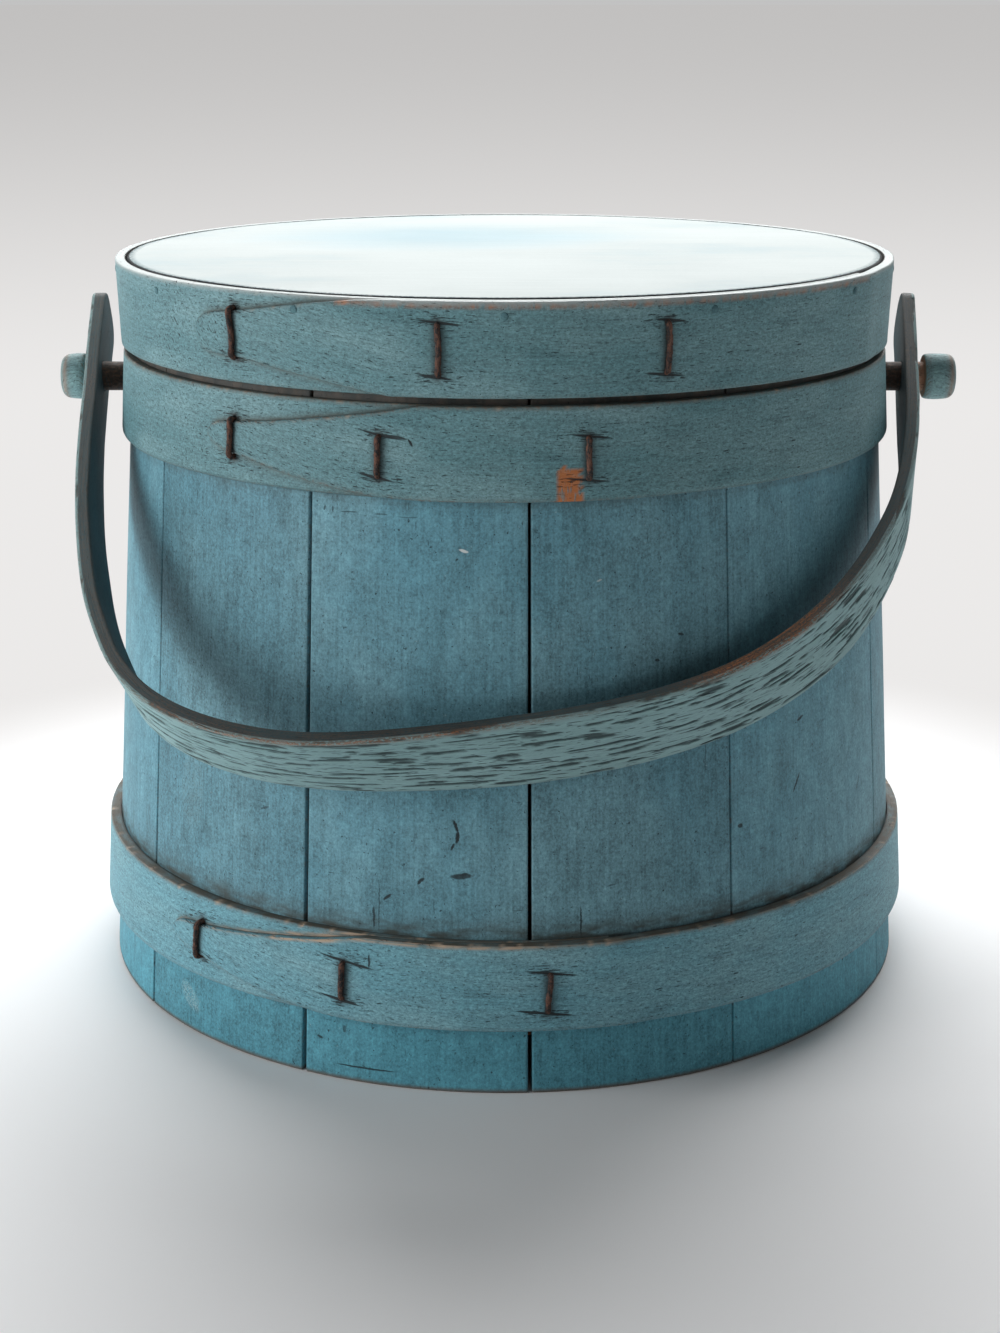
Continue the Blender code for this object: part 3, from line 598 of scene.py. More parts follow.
def band_material(name, paint_colour, colours, wear=1.0, marks=()):
    """Paint on a bent strip: dark pores along it, cracks at its staples, and worn arrises, with painted
    shade in its gaps and a painted highlight on the lid band's rim.
    """
    material, graph, shader = new_material(name, 0.62)
    plane = graph.surface()
    clouds = graph.grain(plane, (0.016, 0.045, 1.0), 4.0)
    patches = graph.grain(plane, (0.07, 0.20, 1.0), 3.0, 0.6)
    strokes = graph.grain(plane, (0.05, 1.25, 1.0), 3.0, 0.6)
    fine = graph.grain(plane, (0.50, 0.80, 1.0), 4.0, 0.75)
    grit = graph.grain(plane, (1.1, 1.7, 1.0), 2.0, 0.7)
    stress = graph.field("stress")
    level = graph.minus(0.690, graph.times(stress, 0.120))
    level = graph.plus(level, graph.times(patches, -0.06))
    pores = dashes(graph, plane, 3.6, 0.55, level)
    long_level = graph.minus(0.725, graph.times(stress, 0.10))
    long_cracks = dashes(graph, graph.vector("ADD", plane, (31.0, 17.0, 0.0)), 9.0, 0.50, long_level)
    slant = graph.turned(plane, 52.0)
    fleck_level = graph.minus(0.80, graph.times(graph.field("fleck"), 0.20))
    flecks = dashes(graph, slant, 2.3, 0.80, fleck_level)
    pits = graph.between(graph.grain(plane, (1.3, 1.6, 1.0), 1.0), 0.70, 0.75)
    paint = graph.mix(graph.between(clouds, 0.35, 0.70, 0.0, 0.35), paint_colour, colours.pale_paint)
    paint = graph.mix(graph.between(patches, 0.48, 0.78, 0.0, 0.38), paint, colours.dark_paint)
    paint = graph.shaded(paint, graph.weighted(-0.82, (strokes, 0.60), (fine, 1.70), (grit, 1.30)))
    # Dust on the hoops' top faces, and painted shade under and inside the strips and along the tongues.
    dirt = graph.times(graph.field("dirt"), graph.between(patches, 0.25, 0.6, 0.55, 1.0))
    colour = graph.mix(dirt, paint, colours.dust_and_shade)
    edge = graph.times(graph.field("edge"), graph.between(fine, 0.42, 0.62, 0.05, 0.9))
    colour = graph.mix(graph.times(edge, wear, clamp=True), colour, colours.old_wood)
    chipped = graph.times(graph.field("chipped"), graph.between(strokes, 0.34, 0.56, 0.2, 1.0))
    colour = graph.mix(chipped, colour, colours.chipped_wood)
    streaks = graph.grain(plane, (1.1, 0.14, 1.0), 2.0, 0.6)
    bare = graph.times(graph.field("bare"), graph.between(streaks, 0.34, 0.46, 0.35, 1.0))
    wood = graph.mix(graph.between(fine, 0.50, 0.75, 0.0, 0.4), colours.bare_wood, colours.chipped_wood)
    colour = graph.mix(bare, colour, wood)
    # The lid band's rim is painted pale: a painted highlight.
    colour = graph.mix(graph.times(graph.field("pale"), 0.9), colour, colours.lid_paint)
    # Rust stain beside the staples, and painted shade on the strips' inner faces and on the pegs' shafts
    # under the strap.
    stain = graph.times(graph.field("stain"), graph.between(fine, 0.25, 0.6, 0.55, 1.0))
    colour = graph.mix(stain, colour, colours.rust_stain_and_shade)
    dark = [
        graph.times(pores, 0.85), graph.times(long_cracks, 0.88),
        graph.times(pits, 0.75), graph.times(flecks, 0.92)]
    wobble = graph.vector("SUBTRACT", graph.join(patches, strokes), (0.5, 0.5, 0.0))
    wavy = graph.vector("ADD", plane, graph.scaled(wobble, (1.2, 1.0, 0.0)))
    dark = graph.most(dark + [ellipse(graph, wavy, *mark) for mark in marks])
    colour = graph.mix(dark, colour, colours.crack_and_shade)
    graph.feed(shader.inputs["Base Color"], colour)
    graph.feed(shader.inputs["Roughness"], graph.between(clouds, 0.3, 0.7, 0.55, 0.70))
    relief = graph.weighted(0.0, (strokes, 0.5), (fine, 0.5), (dark, -1.3), (bare, -0.5))
    raise_surface(graph, shader, relief, 0.22 * MM)
    return material


def strap_material(colours):
    """Grey-green paint in the open lengthwise grain of the handle, with its inner face painted dark as
    painted shade.
    """
    material, graph, shader = new_material("handle_paint", 0.66)
    plane = graph.surface()
    clouds = graph.grain(plane, (0.013, 0.05, 1.0), 4.0)
    lines = graph.grain(plane, (0.045, 1.5, 1.0), 4.0, 0.6)
    fine = graph.grain(plane, (0.8, 2.4, 1.0), 4.0, 0.7)
    grooves = dashes(graph, graph.turned(plane, -3.5), 13.0, 0.55, 0.640, 1.0)
    small = dashes(graph, graph.vector("ADD", plane, (11.0, 7.0, 0.0)), 5.0, 0.45, 0.660, 1.0)
    outer = graph.field("outer")
    paint = graph.mix(graph.between(clouds, 0.35, 0.7, 0.0, 0.40), colours.handle_paint, colours.pale_paint)
    # Painted shade: the faces other than the outer face are painted dark.
    inner_face_shade = graph.mix(graph.between(clouds, 0.3, 0.7, 0.25, 0.75), colours.crack_and_shade, colours.dark_paint)
    paint = graph.mix(graph.between(outer, 0.2, 0.8), inner_face_shade, paint)
    paint = graph.shaded(paint, graph.weighted(0.55, (lines, 0.60), (fine, 0.40)))
    dark = graph.most([
        graph.times(grooves, graph.between(outer, 0.0, 1.0, 0.35, 0.88)),
        graph.times(small, 0.75), graph.times(graph.field("groove"), 0.95)])
    colour = graph.mix(dark, paint, colours.crack_and_shade)
    rubbing_and_shade = graph.times(graph.field("edge"), graph.between(fine, 0.36, 0.56, 0.1, 1.0))
    wood = graph.mix(graph.between(lines, 0.36, 0.58), colours.bare_wood, colours.old_wood)
    worn = graph.times(rubbing_and_shade, graph.between(lines, 0.35, 0.6, 0.25, 0.8))
    colour = graph.mix(worn, colour, colours.old_wood)
    bare = graph.times(graph.field("bare"), graph.between(fine, 0.40, 0.54, 0.0, 1.0))
    colour = graph.mix(bare, colour, wood)
    graph.feed(shader.inputs["Base Color"], colour)
    graph.feed(shader.inputs["Roughness"], graph.between(clouds, 0.3, 0.7, 0.60, 0.74))
    relief = graph.weighted(0.0, (lines, 0.6), (fine, 0.35), (dark, -1.3))
    raise_surface(graph, shader, relief, 0.26 * MM)
    return material


def lid_material(colours):
    """The lid board: paint rubbed nearly white, blue left in patches, with fine scratches, and its edge
    painted dark and black as painted shade of the gap round it.
    """
    material, graph, shader = new_material("lid_paint", 0.72)
    shader.inputs["Specular IOR Level"].default_value = 0.10
    place = graph.place()
    centred = graph.vector("SUBTRACT", place, tuple(value / MM for value in AXIS))
    clouds = graph.grain(place, (0.014, 0.022, 0.01), 4.0, 0.6)
    grain = graph.grain(place, (0.020, 0.65, 0.1), 4.0, 0.6)
    strokes = graph.grain(place, (0.05, 1.4, 0.1), 3.0, 0.6)
    fine = graph.grain(place, (0.8, 1.2, 0.8), 4.0, 0.7)
    out = graph.scaled(graph.vector("SUBTRACT", centred, BLUE_PATCH), (0.010, 0.016, 0.0))
    out = graph.plus(graph.vector("LENGTH", out), graph.times(clouds, 0.8))
    share = graph.times(graph.between(out, 1.35, 0.55), 0.75)
    share = graph.plus(share, graph.between(clouds, 0.5, 0.75, 0.0, 0.35), clamp=True)
    colour = graph.mix(share, colours.lid_paint, colours.lid_blue)
    colour = graph.shaded(colour, graph.weighted(0.85, (grain, 0.16), (fine, 0.14)))
    scratches = dashes(graph, graph.turned(place, 34.0), 16.0, 0.30, 0.70)
    pores = dashes(graph, place, 5.0, 0.4, 0.72)
    colour = graph.mix(graph.times(scratches, 0.30), colour, colours.lid_scratch)
    colour = graph.mix(graph.times(pores, 0.35), colour, colours.stave_paint)
    # The board's top edge is darkened and its arris and side painted black: painted shade of the gap between
    # board and band.
    rubbing_and_shade = graph.times(graph.field("edge"), graph.between(fine, 0.4, 0.6, 0.2, 1.0))
    colour = graph.mix(rubbing_and_shade, colour, colours.dark_paint)
    colour = graph.mix(graph.field("inside"), colour, colours.crack_and_shade)
    graph.feed(shader.inputs["Base Color"], colour)
    graph.feed(shader.inputs["Roughness"], graph.between(clouds, 0.3, 0.7, 0.66, 0.80))
    relief = graph.weighted(0.0, (grain, 0.5), (strokes, 0.4))
    raise_surface(graph, shader, relief, 0.12 * MM)
    return material


def wood_material(name, light, dark, stretch):
    """Plain unpainted wood with grain along one axis."""
    material, graph, shader = new_material(name, 0.72)
    place = graph.place()
    grain = graph.grain(place, stretch, 5.0, 0.65)
    fine = graph.grain(place, tuple(4 * value for value in stretch), 3.0, 0.7)
    share = graph.between(graph.plus(grain, graph.times(fine, 0.3)), 0.45, 0.85)
    graph.feed(shader.inputs["Base Color"], graph.mix(share, light, dark))
    raise_surface(graph, shader, graph.plus(grain, fine), 0.15 * MM)
    return material


def wire_material(colours):
    """Rusted iron wire, rough and dark, with lighter worn spots."""
    material, graph, shader = new_material("rusty_wire", 0.62, 0.35)
    place = graph.place()
    spots = graph.grain(place, (0.7, 0.7, 0.35), 4.0, 0.7)
    grit = graph.grain(place, (3.0, 3.0, 3.0), 3.0, 0.7)
    colour = graph.mix(graph.between(spots, 0.4, 0.65), colours.crack_and_shade, colours.rust)
    colour = graph.mix(graph.between(grit, 0.52, 0.72, 0.0, 0.55), colour, colours.worn_rust)
    graph.feed(shader.inputs["Base Color"], colour)
    graph.feed(shader.inputs["Roughness"], graph.between(grit, 0.3, 0.7, 0.50, 0.78))
    raise_surface(graph, shader, graph.plus(grit, spots), 0.12 * MM)
    return material


def around(radius, degrees, height):
    """A point at that radius and angle about the firkin's axis, where angle zero faces the front."""
    turn = math.radians(degrees)
    return Vector((AXIS.x + radius * math.sin(turn), AXIS.y - radius * math.cos(turn), height))


def interpolate(table, share):
    """The values of a table's row at that share, interpolated straight."""
    for before, after in zip(table, table[1:]):
        if share <= after[0]:
            part = max(0.0, (share - before[0]) / (after[0] - before[0]))
            return [low + (high - low) * part for low, high in zip(before[1:], after[1:])]
    return list(table[-1][1:])


def signed(degrees):
    """The same angle between -180 and 180 degrees."""
    return (degrees + 180.0) % FULL_TURN - 180.0


def fade(offset, width, power=2):
    """1 at no offset, falling smoothly to 0 past a width."""
    return math.exp(-((abs(offset) / width) ** power))


def straight(start, end, count):
    """Evenly spaced points from a start up to, and without, an end."""
    return [tuple(a + (b - a) * i / count for a, b in zip(start, end)) for i in range(count)]


def sizes():
    return bpy.context.scene.firkin_sizes


def body_radius(height):
    """Outer radius of the staves at a height."""
    size = sizes()
    return size.base_radius + (size.rim_radius - size.base_radius) * height / BODY_HEIGHT


def link(name, mesh, material=None):
    item = bpy.data.objects.new(name, mesh)
    bpy.context.scene.collection.objects.link(item)
    if material:
        mesh.materials.append(material)
    return item


def face_outwards(mesh):
    """Turns a closed mesh's faces round if they face inwards."""
    mesh.calc_loop_triangles()
    volume = 0.0
    for triangle in mesh.loop_triangles:
        a, b, c = (mesh.vertices[i].co for i in triangle.vertices)
        volume += a.dot(b.cross(c))
    if volume < 0:
        mesh.flip_normals()


def finish_piece(item, body, nodes, sharp=35.0):
    """Turns an object with modifiers into a plain mesh, and has it ride in its nodes' place."""
    depsgraph = bpy.context.evaluated_depsgraph_get()
    mesh = bpy.data.meshes.new_from_object(item.evaluated_get(depsgraph))
    item.modifiers.clear()
    item.data = mesh
    mesh.name = item.name
    face_outwards(mesh)
    mesh.shade_smooth()
    mesh.set_sharp_from_angle(angle=math.radians(sharp))
    if not mesh.vertices:
        raise RuntimeError(f"{item.name} has no mesh")
    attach(item, body)
    if nodes:
        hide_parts(*nodes)
    return item


def ring_body(name, rings, places, fields, material):
    """A closed body through rings of points, with its place on the surface as UV and its fields."""
    rows, columns = len(rings), len(rings[0])
    points = [point for ring in rings for point in ring]
    faces = []
    for i in range(rows - 1):
        for j in range(columns):
            k = (j + 1) % columns
            faces.append((i * columns + j, i * columns + k, (i + 1) * columns + k, (i + 1) * columns + j))
    faces.append(tuple(range(columns)))
    faces.append(tuple((rows - 1) * columns + j for j in range(columns)))
    mesh = bpy.data.meshes.new(name)
    mesh.from_pydata(points, [], faces)
    layer = mesh.uv_layers.new(name="surface")
    values = []
    for i in range(rows - 1):
        for j in range(columns):
            values += [places[i][j], places[i][j + 1], places[i + 1][j + 1], places[i + 1][j]]
    values += [places[0][j] for j in range(columns)]
    values += [places[-1][j] for j in range(columns)]
    layer.uv.foreach_set("vector", np.array(values, float).ravel())
    for key, grid in fields.items():
        attribute = mesh.attributes.new(key, "FLOAT", "POINT")
        attribute.data.foreach_set("value", np.array(grid, float).ravel())
    return link(name, mesh, material)


def rounded_section(width, height, low, arris, counts):
    """Points round a strip's section, out and up, with each outer arris as an arc."""
    low_arris, high_arris = arris
    face, arc, back = counts

    def corner(centre, radius, start):
        turns = [math.radians(start + 90.0 * i / arc) for i in range(arc)]
        return [(centre[0] + radius * math.cos(turn), centre[1] + radius * math.sin(turn)) for turn in turns]

    points = straight((0.0, low), (width - low_arris, low), back)
    points += corner((width - low_arris, low + low_arris), low_arris, -90.0)
    points += straight((width, low + low_arris), (width, height - high_arris), face)
    points += corner((width - high_arris, height - high_arris), high_arris, 0.0)
    points += straight((width - high_arris, height), (0.0, height), back)
    return points + straight((0.0, height), (0.0, low), back)


class Band:
    """A thin wooden strip bent round the body, with its pointed end lapped over the other.

    In degrees, the tip is where its tongue starts, the lap is how far the strip overlaps itself,
    and the flare is how far the tongue runs until it is as high as the strip.
    """

    ARRIS = 0.6 * MM
    STEP = 0.55
    COUNTS = (26, 5, 4)
    flecks = 0.35
    crack_reach = 4.8

    def __init__(
        self, name, foot, height, thickness, bevel, tip, lap, flare, tongue, wall, staples, staple_height,
    ):
        self.name = name
        self.foot = foot
        self.height = height
        self.thickness = thickness
        self.bevel = bevel
        self.tip = tip
        self.lap = lap
        self.flare = flare
        self.tongue = tongue
        self.wall = wall
        self.staples = staples
        self.staple_height = staple_height

    def layer_below(self, run):
        """Thickness of what lies under the strip at an angle along its run."""
        if run < self.lap:
            return self.thickness * (1 - (1 - END_SHARE) * run / self.lap) + LAP_GAP
        rest = self.thickness * END_SHARE + LAP_GAP
        close = min(1.0, (run - self.lap) / LAP_CLOSE)
        return rest * (1 + math.cos(math.pi * close)) / 2

    def strip_thickness(self, run):
        share = 1.0
        if run < self.lap:
            share = TIP_SHARE + (1 - TIP_SHARE) * run / self.lap
        elif run > FULL_TURN:
            share = 1 - (1 - END_SHARE) * (run - FULL_TURN) / self.lap
        return self.thickness * share

    def edges(self, run):
        low, high = interpolate(self.tongue, min(1.0, run / self.flare))
        return self.foot + self.height * low, self.foot + self.height * high

    def face(self, degrees, height):
        """Radius of the outermost face at an angle and a height."""
        run = (degrees - self.tip) % FULL_TURN
        low, high = self.edges(run)
        if low <= height <= high or run > self.lap:
            return self.wall(height) + self.layer_below(run) + self.strip_thickness(run)
        return self.wall(height) + self.strip_thickness(run + FULL_TURN)

    def runs(self):
        """Angles along the strip, closest at the tongue's blunt tip."""
        end = FULL_TURN + self.lap
        marks = [self.flare * share for share in (0.0, 0.006, 0.013, 0.02, 0.03, 0.04, 0.05)]
        count = round((end - marks[-1]) / self.STEP)
        return marks[:-1] + [marks[-1] + (end - marks[-1]) * i / count for i in range(count + 1)]

    def wear(self, degrees, height, run):
        """Stress and rust stain at a place on the strip's face, each from 0 to 1."""
        radius = self.wall(height)
        stress = stain = 0.0
        for turn, share in self.staples:
            across = math.radians(signed(degrees - turn)) * radius
            past_end = abs(height - self.foot - self.height * share) - self.staple_height / 2
            stress += fade(across, 8.5 * MM) * fade(past_end, 3.0 * MM)
            stain += 0.95 * fade(across, 1.9 * MM) * fade(max(0.0, past_end), 1.2 * MM)
        if run < self.flare:
            low, high = self.edges(run)
            from_edge = min(height - low, high - height)
            stress += 0.55 * math.exp(-from_edge / (3.0 * MM)) * (1 - run / self.flare)
        return min(1.0, stress), min(1.0, stain)

    def shade_by_tongue(self, run, height):
        """Painted shade on the strip's lower layer, along the outline of the tongue that steps over it."""
        if not FULL_TURN < run < FULL_TURN + self.flare:
            return 0.0
        low, high = self.edges(run - FULL_TURN)
        return 0.9 * math.exp(-max(height - high, low - height, 0.0) / (0.9 * MM))

    def extra(self, degrees, height, outer):
        """Bare wood, chips, dust and a painted highlight that only one strip has."""
        return {}

    def spot(self, degrees, height):
        """Where a place on the strip's face lies on its surface, in millimetres."""
        run = (degrees - self.tip) % FULL_TURN
        low, _ = self.edges(run)
        thick = self.strip_thickness(run)
        bevel = min(self.bevel, thick / 2 if run < self.lap else thick * BEVEL_SHARE)
        up = thick - bevel + math.pi / 2 * bevel + height - low - bevel
        return math.radians(run) * self.wall(self.foot) / MM, up / MM

    def cracks(self):
        """Thin cracks at both ends of each staple: place, half lengths, turn and strength."""
        marks = []
        for number, (degrees, share) in enumerate(self.staples):
            middle = self.foot + self.height * share
            for end in (-1, 1):
                u, v = self.spot(degrees, middle + end * (self.staple_height / 2 - 0.4 * MM))
                reach = self.crack_reach * (0.8 + 0.4 * ((number * 0.618 + end * 0.31) % 1.0))
                reach *= 0.45 if number == 0 else 1.0
                marks.append(((u + 0.12 * reach * end, v), reach, 0.5, -6.0, 0.95))
        return marks

    def make(self, material):
        rings, places = [], []
        fields = {key: [] for key in BAND_FIELDS}
        for run in self.runs():
            ring, row, values = self.ring(run)
            rings.append(ring)
            places.append(row)
            for key in BAND_FIELDS:
                fields[key].append([value[key] for value in values])
        return ring_body(self.name, rings, places, fields, material)

    def ring(self, run):
        """A ring of the strip's points, their places on its surface, and what its mesh carries."""
        low, high = self.edges(run)
        under, thick = self.layer_below(run), self.strip_thickness(run)
        room = min(thick, high - low) / 2
        bevel = min(self.bevel, room if run < self.lap else thick * BEVEL_SHARE)
        section = rounded_section(thick, high, low, (bevel, min(self.ARRIS, room)), self.COUNTS)
        degrees = self.tip + run
        arc = math.radians(run) * self.wall(self.foot)
        ring, row, values, length = [], [], [], 0.0
        for i, (out, height) in enumerate(section):
            if i:
                length += math.dist(section[i - 1], section[i])
            row.append((arc, length))
            outer = out / thick
            rise = self.unevenness(degrees, height) * max(0.0, outer)
            chip = self.chip(degrees, height, high) * outer
            radius = self.wall(height) + under + out + rise - chip
            ring.append(around(radius, degrees, height - 0.5 * chip))
            values.append(self.values(run, low, high, height, outer, chip))
        row.append((arc, length + math.dist(section[-1], section[0])))
        return ring, row, values

    def values(self, run, low, high, height, outer, chip):
        """What the strip's mesh carries at a point, each from 0 to 1."""
        degrees = self.tip + run
        values = dict.fromkeys(BAND_FIELDS, 0.0)
        near = min(abs(height - high), abs(height - low))
        values["edge"] = fade(near, 0.9 * MM) * min(1.0, outer * 1.2)
        # Darker inner parts of the faces: dust on the hoops' top faces, and painted shade on the faces
        # turned down and in and at the lid band's inner rim. Along the tongue, painted shade.
        values["dirt"] = 0.9 if outer < 0.3 else self.shade_by_tongue(run, height)
        if outer > 0.3:
            values["stress"], values["stain"] = self.wear(degrees, height, run)
            by_lap_ends = fade(run - 3.0, 10.0) + fade(run - FULL_TURN + 6.0, 10.0)
            values["fleck"] = self.flecks * by_lap_ends
            values["chipped"] = min(1.0, chip / (0.22 * MM))
        # The upper half of the inner face is painted dark: painted shade in the gap behind the strip.
        elif outer < 0.01 and height > low + (high - low) / 2:
            values["stain"] = 1.0
        for key, value in self.extra(degrees, height, outer).items():
            values[key] = max(values[key], value)
        return values

    def unevenness(self, degrees, height):
        spot = Vector((degrees * 0.055, height * 25.0, self.foot * 90.0))
        ripple = Vector((degrees * 0.45, height * 260.0, 3.0))
        return noise.noise(spot) * 0.16 * MM + noise.noise(ripple) * 0.045 * MM

    def chip(self, degrees, height, high):
        """How far the top arris is chipped back at an angle."""
        from_top = (high - height) / (1.1 * MM)
        if from_top > 1.0:
            return 0.0
        bite = noise.noise(Vector((degrees * 0.8, 4.0, self.foot * 50.0)))
        bite += 0.6 * noise.noise(Vector((degrees * 2.9, 9.0, self.foot * 70.0)))
        return max(0.0, bite - 0.28) * MM * self.chipping(degrees) * (1 - max(0.0, from_top))

    def chipping(self, degrees):
        return 0.45


class UpperHoop(Band):
    """The upper hoop, with one bare patch where a flake of paint came off."""

    flecks = 0.75
    crack_reach = 6.6

    def extra(self, degrees, height, outer):
        across = abs(degrees - 8.2) / 1.6
        up = abs(height - self.foot - 5.0 * MM) / (5.6 * MM)
        ragged = 0.25 * noise.noise(Vector((degrees * 2.2, height * 700.0, 1.0)))
        bare = 1.0 if across + ragged < 1.0 and up + ragged < 1.0 else 0.0
        top = max(0.0, 1 - (self.foot + self.height - height) / MM)
        return {"bare": bare, "dirt": 0.8 * top}

    def cracks(self):
        """The usual cracks, and a thin hooked one beside the second staple."""
        degrees, share = self.staples[1]
        u, v = self.spot(degrees, self.foot + self.height * share + self.staple_height / 2)
        hook = [((u + 5.0, v - 0.4), 5.0, 0.34, -5.0, 0.9), ((u + 10.4, v - 1.8), 1.4, 0.42, -62.0, 0.95)]
        return super().cracks() + hook


class LowerHoop(Band):
    """The lower hoop, its top arris chipped at the front and dirty all round."""

    flecks = 0.3
    crack_reach = 9.0

    def front(self, degrees):
        """1 where the top arris is most chipped, falling to 0 round the sides."""
        return fade(signed(degrees) + 14.0, 18.0, 4)

    def extra(self, degrees, height, outer):
        front = self.front(degrees) if signed(degrees) > -44.0 else 0.0
        ragged = noise.noise(Vector((degrees * 0.55, height * 420.0, 2.0)))
        _, high = self.edges((degrees - self.tip) % FULL_TURN)
        near = max(0.0, 1 - abs(high - height) / (0.7 * MM + MM * front))
        dirt = max(0.0, 1 - (self.foot + self.height - height) / MM)
        if outer < 0.9:
            return {"dirt": dirt}
        chipped = min(1.0, near * (0.35 + front) * (1.2 + 2.2 * ragged)) if near else 0.0
        return {"chipped": chipped, "dirt": 0.7 * dirt}

    def chipping(self, degrees):
        return 0.7 + 1.5 * self.front(degrees)

    def cracks(self):
        """The usual cracks, and a short upright one above the second staple."""
        u, v = self.spot(-16.8, self.foot + 22.2 * MM)
        return super().cracks() + [((u, v), 2.8, 0.36, 90.0, 0.85)]


class LidBand(Band):
    """The lid's band, its rim painted pale as a painted highlight, with a thin worn line under it."""

    flecks = 0.9
    crack_reach = 6.0
    COUNTS = (26, 5, 8)

    def extra(self, degrees, height, outer):
        from_top = self.foot + self.height - height
        line = fade(from_top - 1.3 * MM, 0.7 * MM) if -22.0 < signed(degrees) < 60.0 else 0.0
        ragged = 0.5 + noise.noise(Vector((degrees * 0.9, 5.0, 7.0)))
        # The top of the rim is painted pale: a painted highlight.
        rim = max(0.0, 1 - from_top / (0.9 * MM))
        return {"bare": min(1.0, 0.8 * line * max(0.0, ragged + 0.2)), "pale": rim}


def hoop_wall(height):
    """Inner radius of the hoops, at rest on the staves."""
    return body_radius(height) + STRIP_GAP


def lid_wall(height):
    """Inner radius of the lid's band, which leans out a little."""
    lean = sizes().lid_lean * (height - LID_FOOT) / sizes().lid_height
    return body_radius(LID_FOOT) + STRIP_GAP + lean


def upper_hoop():
    size = sizes()
    return UpperHoop(
        name="upper_hoop_strip", foot=UPPER_FOOT, height=size.upper_height,
        thickness=size.upper_thickness, bevel=2.2 * MM, tip=-43.6, lap=62.0, flare=33.0,
        tongue=HOOP_TONGUE, wall=hoop_wall, staples=UPPER_STAPLES, staple_height=14.6 * MM)


def lower_hoop():
    size = sizes()
    return LowerHoop(
        name="lower_hoop_strip", foot=LOWER_FOOT, height=size.lower_height,
        thickness=size.lower_thickness, bevel=0.6 * MM, tip=-48.6, lap=62.0, flare=31.0,
        tongue=HOOP_TONGUE, wall=hoop_wall, staples=LOWER_STAPLES, staple_height=14.8 * MM)


def lid_band():
    size = sizes()
    return LidBand(
        name="lid_band_strip", foot=LID_FOOT, height=size.lid_height,
        thickness=size.lid_thickness, bevel=0.6 * MM, tip=-45.0, lap=105.0, flare=30.0,
        tongue=LID_TONGUE, wall=lid_wall, staples=LID_STAPLES, staple_height=18.0 * MM)


def cutter_between(name, start, end, across, up, radius, sides):
    """A hidden cylinder between two points that bores a hole."""
    points = []
    for centre in (start, end):
        for i in range(sides):
            turn = 2 * math.pi * i / sides
            x, y = radius * math.cos(turn), radius * math.sin(turn)
            points.append([c + x * a + y * u for c, a, u in zip(centre, across, up)])
    faces = [tuple(range(sides)), tuple(range(sides, 2 * sides))]
    faces += [(i, (i + 1) % sides, sides + (i + 1) % sides, sides + i) for i in range(sides)]
    mesh = bpy.data.meshes.new(name)
    mesh.from_pydata(points, [], faces)
    face_outwards(mesh)
    return link(name, mesh)


def peg_cutter(name, start, end, radius):
    """A cutter from side to side along the pegs' line."""
    ends = ((x, AXIS.y, PEG_HEIGHT) for x in (start, end))
    return cutter_between(name, *ends, (0, 1, 0), (0, 0, 1), radius, 96)


def pin_cutter(low, high):
    """An upright cutter for the pin that lies in that box."""
    centre, radius = (low + high) / 2, (high.x - low.x) / 2 + BORE_GAP
    ends = ((centre.x, centre.y, centre.z + reach) for reach in (-12.0 * MM, 12.0 * MM))
    return cutter_between("pin_bore", *ends, (1, 0, 0), (0, 1, 0), radius, 24)


def bore(item, cutters):
    for cutter in cutters:
        hole = item.modifiers.new(cutter.name, "BOOLEAN")
        hole.operation = "DIFFERENCE"
        hole.solver = "EXACT"
        hole.object = cutter


def drop(items):
    for item in items:
        bpy.data.objects.remove(item, do_unlink=True)


def add_modifier(item, tree, values):
    """Hangs a node tree on an object, with its inputs set by their sockets' identifiers."""
    modifier = item.modifiers.new(tree.name, "NODES")
    modifier.node_group = tree
    for socket in tree.interface.items_tree:
        if socket.in_out == "INPUT" and socket.name in values:
            modifier[socket.identifier] = values[socket.name]


def new_tree(name, inputs):
    """A geometry tree with named inputs, and its graph, input node and output node."""
    tree = bpy.data.node_groups.new(name, "GeometryNodeTree")
    tree.interface.new_socket("Geometry", in_out="INPUT", socket_type="NodeSocketGeometry")
    for label, kind in inputs:
        tree.interface.new_socket(label, in_out="INPUT", socket_type=kind)
    tree.interface.new_socket("Geometry", in_out="OUTPUT", socket_type="NodeSocketGeometry")
    graph = Graph(tree)
    given = graph.add("NodeGroupInput").outputs
    return tree, graph, given, graph.add("NodeGroupOutput")


def named(graph, name, kind="FLOAT"):
    item = graph.add("GeometryNodeInputNamedAttribute", data_type=kind)
    item.inputs["Name"].default_value = name
    return item.outputs["Attribute"]


def store(graph, geometry, name, value, kind="FLOAT"):
    item = graph.add("GeometryNodeStoreNamedAttribute", data_type=kind, domain="POINT")
    item.inputs["Name"].default_value = name
    graph.feed(item.inputs["Geometry"], geometry)
    graph.feed(item.inputs["Value"], value)
    return item.outputs[0]


def close_tree(graph, geometry, material, out):
    """Ends a tree in Realize Instances and Set Material."""
    real = graph.add("GeometryNodeRealizeInstances", {0: geometry}).outputs[0]
    dressed = graph.add("GeometryNodeSetMaterial", {"Geometry": real, "Material": material})
    graph.feed(out.inputs[0], dressed.outputs[0])


